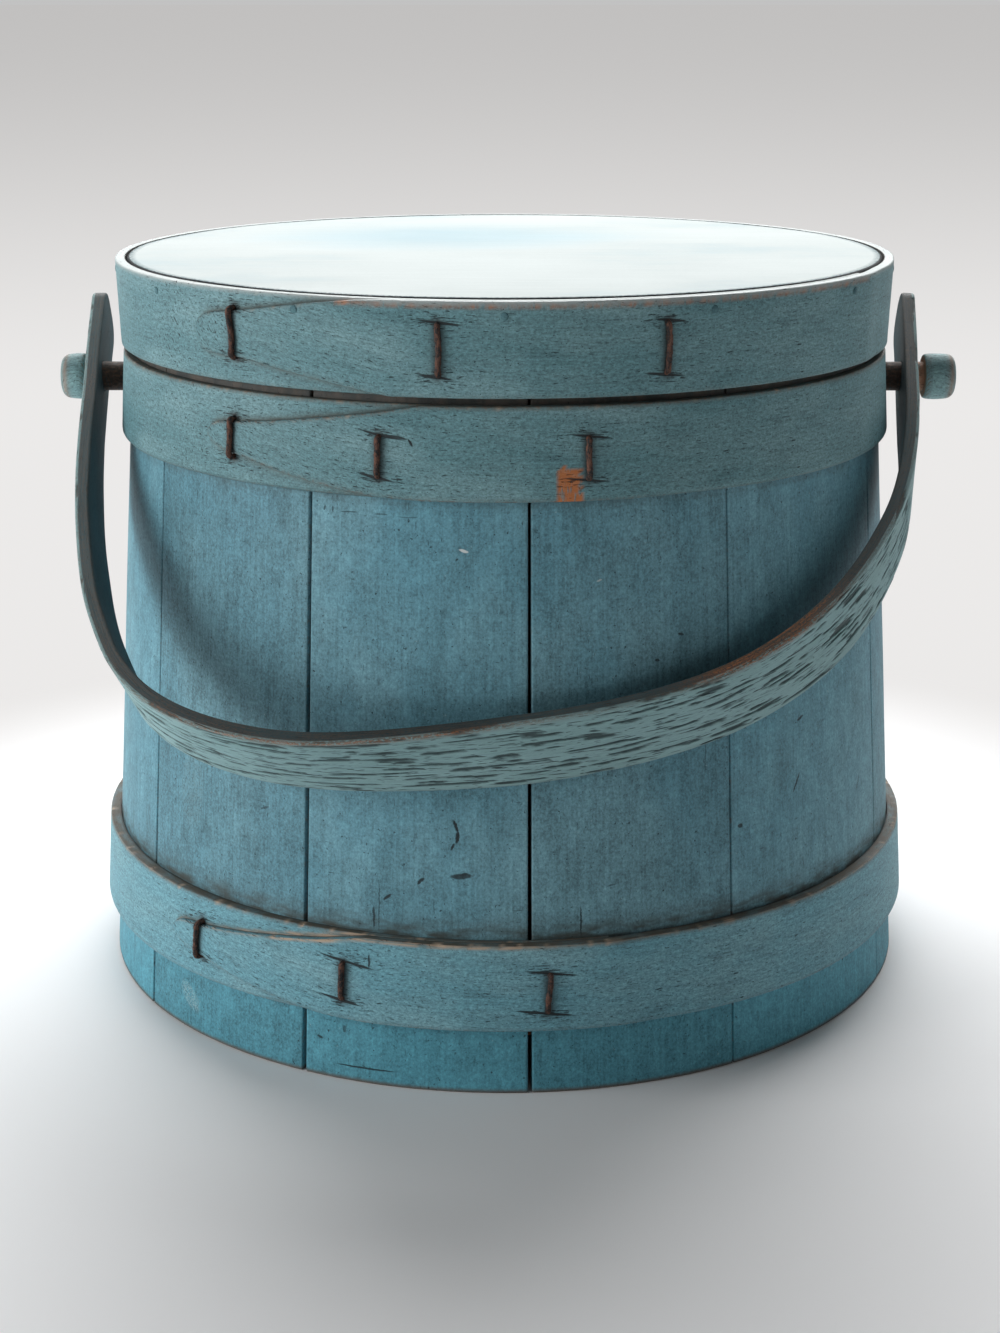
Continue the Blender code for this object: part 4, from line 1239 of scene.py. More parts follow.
def stave_tree():
    """Sweeps a stave's section across its angle, and rounds the arrises along its joints."""
    inputs = [(label, "NodeSocketFloat") for label in (
        "Start angle", "End angle", "Start gap at foot", "Start gap at rim", "End gap at foot",
        "End gap at rim", "Body height", "Arris", "Unevenness", "Tint", "Seed")]
    inputs += [
        ("Centre", "NodeSocketVector"), ("Points across", "NodeSocketInt"),
        ("Material", "NodeSocketMaterial")]
    tree, graph, given, out = new_tree("Stave form", inputs)
    profile = graph.add("GeometryNodeMeshToCurve", {0: given["Geometry"]}).outputs[0]
    line = graph.add("GeometryNodeCurvePrimitiveLine", {"Start": (0, 0, 0), "End": (0, 0, 1)})
    line = graph.add(
        "GeometryNodeResampleCurve", {"Curve": line.outputs[0], "Count": given["Points across"]}).outputs[0]
    even = graph.add("GeometryNodeSplineParameter").outputs["Factor"]
    ease = graph.math("SINE", graph.times(even, 2 * math.pi))
    across = graph.minus(even, graph.times(ease, 0.90 / (2 * math.pi)))
    line = store(graph, line, "across", across)
    swept = graph.add(
        "GeometryNodeCurveToMesh", {"Curve": line, "Profile Curve": profile, "Fill Caps": True}).outputs[0]
    radius, height, _ = graph.split(named(graph, "section", "FLOAT_VECTOR"))
    inward_r, inward_h, _ = graph.split(named(graph, "inward", "FLOAT_VECTOR"))
    across = named(graph, "across")
    up = graph.math("DIVIDE", height, given["Body height"])

    def gap(side):
        foot, rim = given[f"{side} gap at foot"], given[f"{side} gap at rim"]
        width = graph.plus(foot, graph.times(graph.minus(rim, foot), up))
        return graph.math("DIVIDE", width, graph.times(radius, 2.0))

    low = graph.plus(given["Start angle"], gap("Start"))
    high = graph.minus(given["End angle"], gap("End"))
    angle = graph.plus(low, graph.times(graph.minus(high, low), across))
    nearest = graph.math("MINIMUM", across, graph.minus(1.0, across))
    run = graph.times(graph.times(nearest, graph.minus(high, low)), radius)
    short = graph.math("MAXIMUM", graph.minus(given["Arris"], run), 0.0)
    arris_squared = graph.times(given["Arris"], given["Arris"])
    left = graph.math("SQRT", graph.minus(arris_squared, graph.times(short, short)))
    pull = graph.minus(given["Arris"], left)
    spot = graph.join(graph.times(angle, 6.0), graph.times(height, 14.0), given["Seed"])
    swell = graph.noise(spot, 2.0)
    swell = graph.times(graph.minus(swell, 0.5), given["Unevenness"])
    facing = graph.math("MAXIMUM", graph.times(inward_r, -1.0), 0.0)
    radius = graph.plus(radius, graph.times(inward_r, pull))
    radius = graph.plus(radius, graph.times(swell, facing))
    height = graph.plus(height, graph.times(inward_h, pull))
    x = graph.times(radius, graph.math("SINE", angle))
    y = graph.times(radius, graph.times(graph.math("COSINE", angle), -1.0))
    place = graph.vector("ADD", graph.join(x, y, height), given["Centre"])
    edge = graph.between(run, given["Arris"], 0.0, 0.0, 0.8)
    swept = store(graph, swept, "edge", edge)
    swept = store(graph, swept, "inside", graph.math("MAXIMUM", inward_r, 0.0))
    swept = store(graph, swept, "tint", given["Tint"])
    swept = graph.add("GeometryNodeSetPosition", {"Geometry": swept, "Position": place}).outputs[0]
    close_tree(graph, swept, given["Material"], out)
    return tree


def stave_section():
    """The stave's section as a loop of points, each with the direction that points into it."""
    size = sizes()
    arris = size.stave_arris
    heights = (0.0, GROOVE_LOW, GROOVE_HIGH, BODY_HEIGHT)
    inner = [body_radius(height) - size.stave_thickness for height in heights]
    loop = []

    def line(start, end, count, normal):
        loop.extend((*point, *normal) for point in straight(start, end, count))

    def corner(centre, start, count=5):
        for i in range(count):
            turn = math.radians(start + 90.0 * i / count)
            out = (math.cos(turn), math.sin(turn))
            loop.append((centre[0] + arris * out[0], centre[1] + arris * out[1], -out[0], -out[1]))

    foot, rim = size.base_radius, size.rim_radius
    corner((foot - arris, arris), -90.0)
    line((foot, arris), (rim, BODY_HEIGHT - arris), 110, (-1.0, 0.0))
    corner((rim - arris, BODY_HEIGHT - arris), 0.0)
    line((rim - arris, BODY_HEIGHT), (inner[3] + arris, BODY_HEIGHT), 3, (0.0, -1.0))
    corner((inner[3] + arris, BODY_HEIGHT - arris), 90.0)
    line((inner[3], BODY_HEIGHT - arris), (inner[2], GROOVE_HIGH), 30, (1.0, 0.0))
    line((inner[2], GROOVE_HIGH), (inner[2] + GROOVE_DEPTH, GROOVE_HIGH), 2, (0.0, 1.0))
    line((inner[2] + GROOVE_DEPTH, GROOVE_HIGH), (inner[1] + GROOVE_DEPTH, GROOVE_LOW), 3, (1.0, 0.0))
    line((inner[1] + GROOVE_DEPTH, GROOVE_LOW), (inner[1], GROOVE_LOW), 2, (0.0, -1.0))
    line((inner[1], GROOVE_LOW), (inner[0], arris), 4, (1.0, 0.0))
    corner((inner[0] + arris, arris), 180.0)
    line((inner[0] + arris, 0.0), (foot - arris, 0.0), 3, (0.0, 1.0))
    count = len(loop)
    mesh = bpy.data.meshes.new("stave_section")
    mesh.from_pydata([(r, h, 0.0) for r, h, _, _ in loop], [(i, (i + 1) % count) for i in range(count)], [])
    for key, first in (("section", 0), ("inward", 2)):
        attribute = mesh.attributes.new(key, "FLOAT_VECTOR", "POINT")
        values = [(*point[first:first + 2], 0.0) for point in loop]
        attribute.data.foreach_set("vector", np.array(values, float).ravel())
    return mesh


class FIRKIN_OT_staves(bpy.types.Operator):
    """Make the twelve tapered staves, each by the stave tree, with the peg holes bored"""

    bl_idname = "firkin.staves"
    bl_label = "Staves"

    def execute(self, context):
        size = sizes()
        material = stave_material(context.scene.firkin_colours)
        tree = stave_tree()
        section = stave_section()
        radius = size.peg_shaft_radius + BORE_GAP
        cutters = [
            peg_cutter("left_bore", AXIS.x - BORE_REACH, AXIS.x, radius),
            peg_cutter("right_bore", AXIS.x, AXIS.x + BORE_REACH, radius)]
        count = len(STAVE_JOINTS)
        for index, start in enumerate(STAVE_JOINTS):
            end = STAVE_JOINTS[(index + 1) % count]
            end += FULL_TURN if end < start else 0.0
            item = link(f"stave_{index + 1:02d}_wood", section.copy())
            values = {
                "Start angle": math.radians(start), "End angle": math.radians(end),
                "Body height": BODY_HEIGHT, "Arris": size.stave_arris, "Unevenness": 0.5 * MM,
                "Tint": (index * 0.618) % 1.0, "Seed": index * 3.7, "Centre": (AXIS.x, AXIS.y, 0.0),
                "Points across": 44, "Material": material}
            for side, joint in (("Start", index), ("End", (index + 1) % count)):
                foot, rim = JOINT_OPENINGS[joint] if joint < len(JOINT_OPENINGS) else TIGHT_JOINT
                values[f"{side} gap at foot"] = size.joint_foot * foot
                values[f"{side} gap at rim"] = size.joint_rim * rim
            add_modifier(item, tree, values)
            if index + 1 in PEG_STAVES:
                bore(item, cutters)
            finish_piece(item, "bucket", [f"stave_{index + 1:02d}"])
        drop(cutters)
        return {"FINISHED"}


class FIRKIN_OT_bottom(bpy.types.Operator):
    """Give the bottom board and the pins behind the pegs their bare wood"""

    bl_idname = "firkin.bottom"
    bl_label = "Bottom and pins"

    def execute(self, context):
        colours = context.scene.firkin_colours
        wood = wood_material("bare_wood", colours.bare_wood, colours.old_wood, (0.03, 0.35, 0.35))
        for name in ("bottom_board", "peg_pin_left", "peg_pin_right"):
            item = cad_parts[name]
            item.data.materials.clear()
            item.data.materials.append(wood)
        return {"FINISHED"}


class FIRKIN_OT_hoops(bpy.types.Operator):
    """Bend the two hoops round the staves, each with its lapped tongue"""

    bl_idname = "firkin.hoops"
    bl_label = "Hoops"

    def execute(self, context):
        colours = context.scene.firkin_colours
        radius = sizes().peg_shaft_radius + BORE_GAP
        cutter = peg_cutter("hoop_bore", AXIS.x - BORE_REACH, AXIS.x + BORE_REACH, radius)
        upper, lower = upper_hoop(), lower_hoop()
        paint = band_material("upper_hoop_paint", colours.hoop_paint, colours, 1.0, upper.cracks())
        upper = upper.make(paint)
        bore(upper, [cutter])
        finish_piece(upper, "bucket", ["upper_hoop"], 50.0)
        drop([cutter])
        paint = band_material("lower_hoop_paint", colours.lower_hoop_paint, colours, 0.7, lower.cracks())
        finish_piece(lower.make(paint), "bucket", ["lower_hoop"], 50.0)
        return {"FINISHED"}


class FIRKIN_OT_lid(bpy.types.Operator):
    """Make the lid's board and bend its band round it"""

    bl_idname = "firkin.lid"
    bl_label = "Lid"

    def execute(self, context):
        colours = context.scene.firkin_colours
        band = lid_band()
        material = band_material("lid_band_paint", colours.hoop_paint, colours, 0.5, band.cracks())
        finish_piece(band.make(material), "lid", ["lid_band"], 50.0)
        board = lid_board(lid_material(colours))
        finish_piece(board, "lid", ["lid_board"])
        return {"FINISHED"}


def lid_board(material):
    """A round board with rounded arrises, shrunk across its grain and very slightly uneven."""
    low, high = (corner.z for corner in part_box("lid_board"))
    radius = lid_wall(low) - BOARD_GAP
    arris = 1.2 * MM
    sides, rows = 360, 60
    profile = [((radius - arris) * i / rows, high, 0.0, 0.0) for i in range(1, rows)]
    for start, middle, near in ((90.0, high - arris, 1.0), (0.0, low + arris, 0.6)):
        for i in range(6):
            turn = math.radians(start - 18.0 * i)
            # From the arris down, 1 marks the board painted black: painted shade of the gap round it.
            inside = 0.0 if start and not i else 1.0
            spot = (radius - arris + arris * math.cos(turn), middle + arris * math.sin(turn))
            profile.append((*spot, near, inside))
    profile += [(radius * share, low, 0.0, 1.0) for share in (0.9, 0.6, 0.3)]
    squeeze = 1 - sizes().lid_board_shrinkage / radius
    points = [(AXIS.x, AXIS.y, high)]
    edge, inside = [0.0], [0.0]
    for r, z, near, under in profile:
        for i in range(sides):
            point = around(r, FULL_TURN * i / sides, z)
            point.y = AXIS.y + (point.y - AXIS.y) * squeeze
            if z > high - arris:
                spot = Vector((point.x * 7.0, point.y * 26.0, 2.0))
                point.z -= (0.5 + noise.noise(spot)) * 0.12 * MM
            points.append(point)
            edge.append(near)
            inside.append(under)
    points.append((AXIS.x, AXIS.y, low))
    edge.append(0.0)
    inside.append(1.0)
    faces = [(0, 1 + i, 1 + (i + 1) % sides) for i in range(sides)]
    for row in range(len(profile) - 1):
        for i in range(sides):
            a = 1 + row * sides
            faces.append((a + i, a + sides + i, a + sides + (i + 1) % sides, a + (i + 1) % sides))
    last = 1 + (len(profile) - 1) * sides
    faces += [(len(points) - 1, last + (i + 1) % sides, last + i) for i in range(sides)]
    mesh = bpy.data.meshes.new("lid_board_wood")
    mesh.from_pydata(points, [], faces)
    for key, values in (("edge", edge), ("inside", inside)):
        mesh.attributes.new(key, "FLOAT", "POINT").data.foreach_set("value", values)
    return link("lid_board_wood", mesh, material)


def staple_tree():
    """Sweeps a round wire along a staple's path, with the wire's thickness uneven."""
    tree, graph, given, out = new_tree("Staple wire", [
        ("Wire radius", "NodeSocketFloat"), ("Sides", "NodeSocketInt"), ("Material", "NodeSocketMaterial")])
    path = graph.add("GeometryNodeMeshToCurve", {0: given["Geometry"]}).outputs[0]
    path = graph.add("GeometryNodeResampleCurve", {"Curve": path, "Count": 70}).outputs[0]
    place = graph.scaled(graph.add("GeometryNodeInputPosition").outputs[0], (700.0,) * 3)
    thick = graph.between(graph.noise(place, 2.0), 0.3, 0.7, 0.86, 1.10)
    path = graph.add("GeometryNodeSetCurveRadius", {"Curve": path, "Radius": thick}).outputs[0]
    ring = graph.add("GeometryNodeCurvePrimitiveCircle", {
        "Resolution": given["Sides"], "Radius": given["Wire radius"]}).outputs[0]
    sweep = graph.add("GeometryNodeCurveToMesh", {
        "Curve": path, "Profile Curve": ring, "Fill Caps": True})
    if "Scale" in sweep.inputs:
        graph.feed(sweep.inputs["Scale"], graph.add("GeometryNodeInputRadius").outputs[0])
    close_tree(graph, sweep.outputs[0], given["Material"], out)
    return tree


def staple_path(band, degrees, share, height, wire):
    """The wire's line: in, round a bend, across the lap, and back in, slightly crooked."""
    bend = 1.6 * MM
    middle = band.foot + band.height * share
    low, high = middle - height / 2 + wire, middle + height / 2 - wire
    proud = band.face(degrees, middle) - band.wall(middle) + WIRE_GAP + wire
    line = [(band.wall(low) + STRIP_GAP, low)]
    turns = [math.pi / 2 * step / 6 for step in range(7)]
    for turn in turns:
        z = low + bend * (1 - math.cos(turn))
        line.append((band.wall(z) + proud - bend * (1 - math.sin(turn)), z))
    for step in range(1, 8):
        z = low + bend + (high - low - 2 * bend) * step / 8
        sag = 0.25 * MM * math.sin(math.pi * step / 8)
        line.append((band.wall(z) + proud - sag, z))
    for turn in reversed(turns):
        z = high - bend * (1 - math.cos(turn))
        line.append((band.wall(z) + proud - bend * (1 - math.sin(turn)), z))
    line.append((band.wall(high) + STRIP_GAP, high))
    points = []
    for radius, z in line:
        lean = 0.35 * noise.noise(Vector((degrees, z * 90.0, 0.0)))
        points.append(around(radius, degrees + lean, z))
    return points


class FIRKIN_OT_staples(bpy.types.Operator):
    """Bend the wire staples through the laps of the hoops and the lid's band"""

    bl_idname = "firkin.staples"
    bl_label = "Staples"

    def execute(self, context):
        material = wire_material(context.scene.firkin_colours)
        tree = staple_tree()
        wire = sizes().wire_radius
        for node, body, band in (
            ("upper_hoop", "bucket", upper_hoop()),
            ("lower_hoop", "bucket", lower_hoop()),
            ("lid_band", "lid", lid_band()),
        ):
            for number, (degrees, share) in enumerate(band.staples, 1):
                points = staple_path(band, degrees, share, band.staple_height, wire)
                mesh = bpy.data.meshes.new(f"{node}_wire_{number}")
                mesh.from_pydata(points, [(i, i + 1) for i in range(len(points) - 1)], [])
                item = link(mesh.name, mesh)
                add_modifier(item, tree, {"Wire radius": wire, "Sides": 16, "Material": material})
                finish_piece(item, body, [f"{node}_staple_{number}"])
        return {"FINISHED"}


def tack_tree():
    """Sets a small domed head on each point of a ring, facing out along the point's normal."""
    tree, graph, given, out = new_tree("Lid tacks", [
        ("Head radius", "NodeSocketFloat"), ("Head thickness", "NodeSocketFloat"),
        ("Shank length", "NodeSocketFloat"), ("Shank radius", "NodeSocketFloat"),
        ("Sides", "NodeSocketInt"), ("Material", "NodeSocketMaterial")])
    dome = graph.add("GeometryNodeMeshUVSphere", {
        "Segments": given["Sides"], "Rings": 8, "Radius": given["Head radius"]}).outputs[0]
    flat = graph.math("DIVIDE", given["Head thickness"], given["Head radius"])
    dome = graph.add("GeometryNodeTransform", {
        "Geometry": dome, "Scale": graph.join(1.0, 1.0, flat)}).outputs[0]
    shank = graph.add("GeometryNodeMeshCone", {
        "Vertices": given["Sides"], "Radius Top": given["Shank radius"], "Radius Bottom": 0.0002,
        "Depth": given["Shank length"]}).outputs[0]
    down = graph.times(given["Shank length"], -1.0)
    shank = graph.add("GeometryNodeTransform", {
        "Geometry": shank, "Translation": graph.join(0.0, 0.0, down)}).outputs[0]
    tack = graph.add("GeometryNodeJoinGeometry")
    graph.feed(tack.inputs[0], dome)
    graph.feed(tack.inputs[0], shank)
    facing = graph.add("FunctionNodeAlignEulerToVector", {
        "Vector": named(graph, "facing", "FLOAT_VECTOR")}, axis="Z")
    seats = graph.add("GeometryNodeInstanceOnPoints", {
        "Points": given["Geometry"], "Instance": tack.outputs[0], "Rotation": facing.outputs[0]}).outputs[0]
    close_tree(graph, seats, given["Material"], out)
    return tree


class FIRKIN_OT_tacks(bpy.types.Operator):
    """Drive the ring of small tacks that hold the lid's board in its band"""

    bl_idname = "firkin.tacks"
    bl_label = "Lid tacks"

    def execute(self, context):
        band = lid_band()
        count = sum(1 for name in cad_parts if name.startswith("lid_tack_"))
        height = middle_of("lid_tack_01").z
        points, facing = [], []
        for i in range(count):
            turn = FULL_TURN * i / count
            points.append(around(band.face(turn, height) + 0.15 * MM, turn, height))
            facing.append(around(1.0, turn, 0.0) - around(0.0, turn, 0.0))
        mesh = bpy.data.meshes.new("lid_tacks")
        mesh.from_pydata(points, [], [])
        attribute = mesh.attributes.new("facing", "FLOAT_VECTOR", "POINT")
        attribute.data.foreach_set("vector", np.array(facing, float).ravel())
        item = link("lid_tacks", mesh)
        colours = context.scene.firkin_colours
        material = wood_material("painted_tack", colours.hoop_paint, colours.dark_paint, (0.6,) * 3)
        add_modifier(item, tack_tree(), {
            "Head radius": 1.3 * MM, "Head thickness": 0.25 * MM, "Shank length": 4.0 * MM,
            "Shank radius": 0.7 * MM, "Sides": 16, "Material": material})
        nodes = [f"lid_tack_{i + 1:02d}" for i in range(count)]
        finish_piece(item, "lid", nodes)
        return {"FINISHED"}


def half_span():
    """From the body's axis to the middle of the strap, beside the upper hoop."""
    size = sizes()
    face = body_radius(PEG_HEIGHT) + size.upper_thickness
    return face + size.strap_standoff + size.strap_thickness / 2


def handle_line(steps):
    """Evenly spaced points of the handle's middle line, across and down from the pegs."""
    size = sizes()
    knots = [Vector((x * half_span(), down * size.strap_drop)) for x, down in HANDLE_LINE]
    dense = []
    last = len(knots) - 1
    for i in range(last):
        before, start, end, after = (knots[min(last, max(0, k))] for k in range(i - 1, i + 3))
        for step in range(60):
            t = step / 60
            pull = (end - before) * (t - 2 * t * t + t * t * t) / 2
            push = (after - start) * (t * t * t - t * t) / 2
            blend = 3 * t * t - 2 * t * t * t
            dense.append(start * (1 - blend) + end * blend + pull + push)
    dense.append(knots[-1])
    runs = [0.0]
    for start, end in zip(dense, dense[1:]):
        runs.append(runs[-1] + (end - start).length)
    points, k = [], 0
    for step in range(steps + 1):
        run = runs[-1] * step / steps
        while k < len(runs) - 2 and runs[k + 1] < run:
            k += 1
        points.append(dense[k].lerp(dense[k + 1], (run - runs[k]) / (runs[k + 1] - runs[k])))
    return points, runs[-1]


def strap_section(half_width):
    """Round the strap's section: out and wide, with the outer face first and closely divided."""
    half = sizes().strap_thickness / 2
    arris = min(0.9 * MM, half_width / 2)
    back, edge = half - arris, half_width - arris

    def corner(out, wide, start, count=5):
        turns = [math.radians(start - 90.0 * i / count) for i in range(count)]
        return [(out - arris * math.sin(turn), wide + arris * math.cos(turn)) for turn in turns]

    points = straight((half, edge), (half, -edge), 60)
    points += corner(back, -edge, 270.0)
    points += straight((back, -half_width), (-back, -half_width), 6)
    points += corner(-back, -edge, 180.0)
    points += straight((-half, -edge), (-half, edge), 24)
    points += corner(-back, edge, 90.0)
    points += straight((-back, half_width), (back, half_width), 6)
    return points + corner(back, edge, 0.0)


def swing(across, down, out, tilt):
    """A point of the handle's plane turned forward from hanging straight down."""
    y = -down * math.sin(tilt) - out * math.cos(tilt)
    z = -down * math.cos(tilt) + out * math.sin(tilt)
    return Vector((AXIS.x + across, AXIS.y + y, PEG_HEIGHT + z))


def rest_tilt(rows):
    """The tilt at which the strap's lowest point is where the frame has it."""
    low, high = 0.0, math.pi / 2
    for _ in range(40):
        tilt = (low + high) / 2
        lowest = min(swing(*point, tilt).z for row in rows for point in row)
        if lowest < HANDLE_FOOT:
            low = tilt
        else:
            high = tilt
    return tilt


def strap_grain(along, wide):
    """How deep the strap's outer face is cut by its open grain."""
    grain = noise.noise(Vector((along * 62.0 + wide * 70.0, wide * 980.0, 5.0)))
    grain += 0.25 * noise.noise(Vector((along * 260.0, wide * 1200.0, 8.0)))
    return min(max(0.0, grain - 0.22) * 2.2 * MM, 0.45 * MM)


def strap_ring(point, outward, share, length):
    """A ring round the strap, its places on the surface, and what its mesh carries."""
    size = sizes()
    along, from_end = share * length, min(share, 1 - share) * length
    twist = math.radians(interpolate(HANDLE_TWIST, share)[0])
    short = max(0.0, HANDLE_END_RADIUS - from_end)
    trim = HANDLE_END_RADIUS - math.sqrt(HANDLE_END_RADIUS**2 - short**2)
    half_width = size.strap_width / 2 - trim
    section = strap_section(half_width)
    x = point.x / MM
    row, place, run = [], [], 0.0
    grid = {key: [] for key in STRAP_FIELDS}
    for k, (out, wide) in enumerate(section):
        if k:
            run += math.dist(section[k - 1], section[k])
        place.append((along, run))
        outer = 1.0 if out > size.strap_thickness * 0.30 else 0.0
        depth = strap_grain(along, wide) if outer and short == 0.0 else 0.0
        worn = 0.35 * MM * max(0.0, noise.noise(Vector((along * 30.0, wide * 60.0, 1.0))))
        top, foot = fade(half_width - wide, 1.3 * MM), fade(half_width + wide, 1.0 * MM)
        out -= math.copysign(worn * max(top, foot), out)
        turned_out = (out - depth) * math.cos(twist) - wide * math.sin(twist)
        turned_wide = (out - depth) * math.sin(twist) + wide * math.cos(twist)
        flat = point - outward * turned_out
        row.append((flat.x, flat.y, turned_wide))
        arris = fade(out - size.strap_thickness / 2, 0.9 * MM)
        rubbing_and_shade = max(0.95 * fade(x - 88.0, 26.0, 4), 0.9 * arris * fade(x + 52.0, 62.0, 4))
        ends = math.exp(-from_end / (3.0 * MM))
        grid["edge"].append(min(1.0, max(0.75 * top, 0.5 * foot, 0.5 * ends)))
        grid["bare"].append(top * rubbing_and_shade)
        grid["outer"].append(outer)
        grid["groove"].append(min(0.85, depth / (0.30 * MM)))
    place.append((along, run + math.dist(section[-1], section[0])))
    return row, place, grid


def handle_strap(material):
    """The strap's mesh, with its open grain cut into the outer face."""
    points, length = handle_line(HANDLE_RINGS)
    rows, places = [], []
    fields = {key: [] for key in STRAP_FIELDS}
    for i, point in enumerate(points):
        ahead = (points[min(i + 1, HANDLE_RINGS)] - points[max(i - 1, 0)]).normalized()
        outward = Vector((ahead.y, -ahead.x))
        row, place, grid = strap_ring(point, outward, i / HANDLE_RINGS, length)
        rows.append(row)
        places.append(place)
        for key in STRAP_FIELDS:
            fields[key].append(grid[key])
    tilt = rest_tilt(rows[::4])
    rings = [[swing(*point, tilt) for point in row] for row in rows]
    return ring_body("handle_strap", rings, places, fields, material)


class FIRKIN_OT_handle(bpy.types.Operator):
    """Bend the handle's strap, cut its open grain and bore it for the pegs"""

    bl_idname = "firkin.handle"
    bl_label = "Handle"

    def execute(self, context):
        strap = handle_strap(strap_material(context.scene.firkin_colours))
        radius = sizes().peg_shaft_radius + STRAP_BORE_GAP
        cutter = peg_cutter("strap_bore", AXIS.x - BORE_REACH, AXIS.x + BORE_REACH, radius)
        bore(strap, [cutter])
        finish_piece(strap, "handle", ["handle"], 50.0)
        drop([cutter])
        return {"FINISHED"}


def peg_profile(shoulder, end, tail, rounding):
    """A peg's outline from its tail to its head's end: out along the axis, and radius."""
    shaft, head = sizes().peg_shaft_radius, sizes().peg_head_radius
    profile = [(tail, shaft - 0.7 * MM), (tail + 0.3 * MM, shaft - 0.2 * MM), (tail + 0.8 * MM, shaft)]
    profile += [(tail + (shoulder - tail) * i / 20, shaft) for i in range(1, 20)]
    profile += [
        (shoulder, shaft), (shoulder, head - 0.9 * MM), (shoulder + 0.3 * MM, head - 0.25 * MM),
        (shoulder + 0.9 * MM, head)]
    straight_part = end - rounding - shoulder
    for share in (i / 6 for i in range(1, 6)):
        profile.append((shoulder + straight_part * share, head + 0.25 * MM * math.sin(math.pi * share)))
    for turn in (math.pi / 2 * i / 8 for i in range(9)):
        radius = head - rounding + rounding * math.cos(turn)
        profile.append((end - rounding + rounding * math.sin(turn), radius))
    return profile + [(end, (head - rounding) * share) for share in (0.75, 0.5, 0.25, 0.08)]


def peg_mesh(name, side, shoulder, end, tail, material):
    """A turned peg: a shaft from its tail to its shoulder, then a round-ended head."""
    rounding, sides = 3.2 * MM, 72
    rings, places = [], []
    fields = {key: [] for key in BAND_FIELDS}
    for out, radius in peg_profile(shoulder, end, tail, rounding):
        ring, row = [], []
        for i in range(sides):
            turn = 2 * math.pi * i / sides
            lump = noise.noise(Vector((math.cos(turn) * 1.6, math.sin(turn) * 1.6, out * 130.0 * side)))
            r = radius + (lump * 0.22 * MM if out > shoulder else 0.0)
            ring.append((AXIS.x + side * out, AXIS.y + r * math.cos(turn), PEG_HEIGHT + r * math.sin(turn)))
            row.append((out, turn * radius))
        row.append((out, 2 * math.pi * radius))
        rings.append(ring)
        places.append(row)
        rim = fade(out - shoulder - 1.0 * MM, 0.9 * MM) if out > shoulder else 0.0
        round_rim = fade(out - end + rounding * 0.6, 1.1 * MM)
        neck = out < shoulder + 0.2 * MM
        # Up to the strap's middle the shaft is painted dark: painted shade from the strap.
        values = {
            "edge": max(rim, 0.5 * round_rim), "stress": 0.25, "bare": 0.75 if neck else 0.35 * round_rim,
            "dirt": 0.25 if neck else 0.0, "stain": 0.9 if out < half_span() else 0.0}
        for key in BAND_FIELDS:
            fields[key].append([values.get(key, 0.0)] * sides)
    return ring_body(name, rings, places, fields, material)


class FIRKIN_OT_pegs(bpy.types.Operator):
    """Turn the two pegs that the handle swings on, with the pins' holes through their tails"""

    bl_idname = "firkin.pegs"
    bl_label = "Pegs"

    def execute(self, context):
        colours = context.scene.firkin_colours
        material = band_material("peg_paint", colours.handle_paint, colours)
        for word, side, play in (("left", -1, 1.6 * MM), ("right", 1, 2.2 * MM)):
            low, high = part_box(f"peg_{word}")
            ends = sorted(abs(value - AXIS.x) for value in (low.x, high.x))
            shoulder = half_span() + sizes().strap_thickness / 2 + play
            peg = peg_mesh(f"peg_{word}_wood", side, shoulder, ends[1], ends[0], material)
            pin_low, pin_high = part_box(f"peg_pin_{word}")
            cutter = pin_cutter(pin_low, pin_high)
            bore(peg, [cutter])
            finish_piece(peg, "bucket", [f"peg_{word}"], 50.0)
            drop([cutter])
        return {"FINISHED"}


class FIRKIN_OT_stage(bpy.types.Operator):
    """Lay the pale floor, set the soft lights and place the camera"""

    bl_idname = "firkin.stage"
    bl_label = "Stage"

    def execute(self, context):
        stage = context.scene.firkin_stage
        mesh = bpy.data.meshes.new("floor")
        corners = [(x * FLOOR_REACH, y * FLOOR_REACH, 0) for x, y in ((-1, -1), (1, -1), (1, 1), (-1, 1))]
        mesh.from_pydata(corners, [], [(0, 1, 2, 3)])
        link("floor", mesh, floor_material(context.scene.firkin_colours))
        for name, layout in LAMPS.items():
            soft_light(name, *layout, getattr(stage, name))
        world = bpy.data.worlds.new("surroundings")
        context.scene.world = world
        world.use_nodes = True
        light_world(world.node_tree, stage.surroundings)
        camera = bpy.data.cameras.new("camera")
        camera.lens = stage.lens
        camera.sensor_fit = "VERTICAL"
        camera.sensor_height = 36.0
        viewer = bpy.data.objects.new("camera", camera)
        bpy.context.scene.collection.objects.link(viewer)
        viewer.location = (AXIS.x, AXIS.y - stage.camera_distance, stage.camera_height)
        viewer.rotation_euler = (math.pi / 2 - stage.camera_down, 0.0, stage.camera_turn)
        context.scene.camera = viewer
        context.scene.view_settings.view_transform = "Standard"
        return {"FINISHED"}


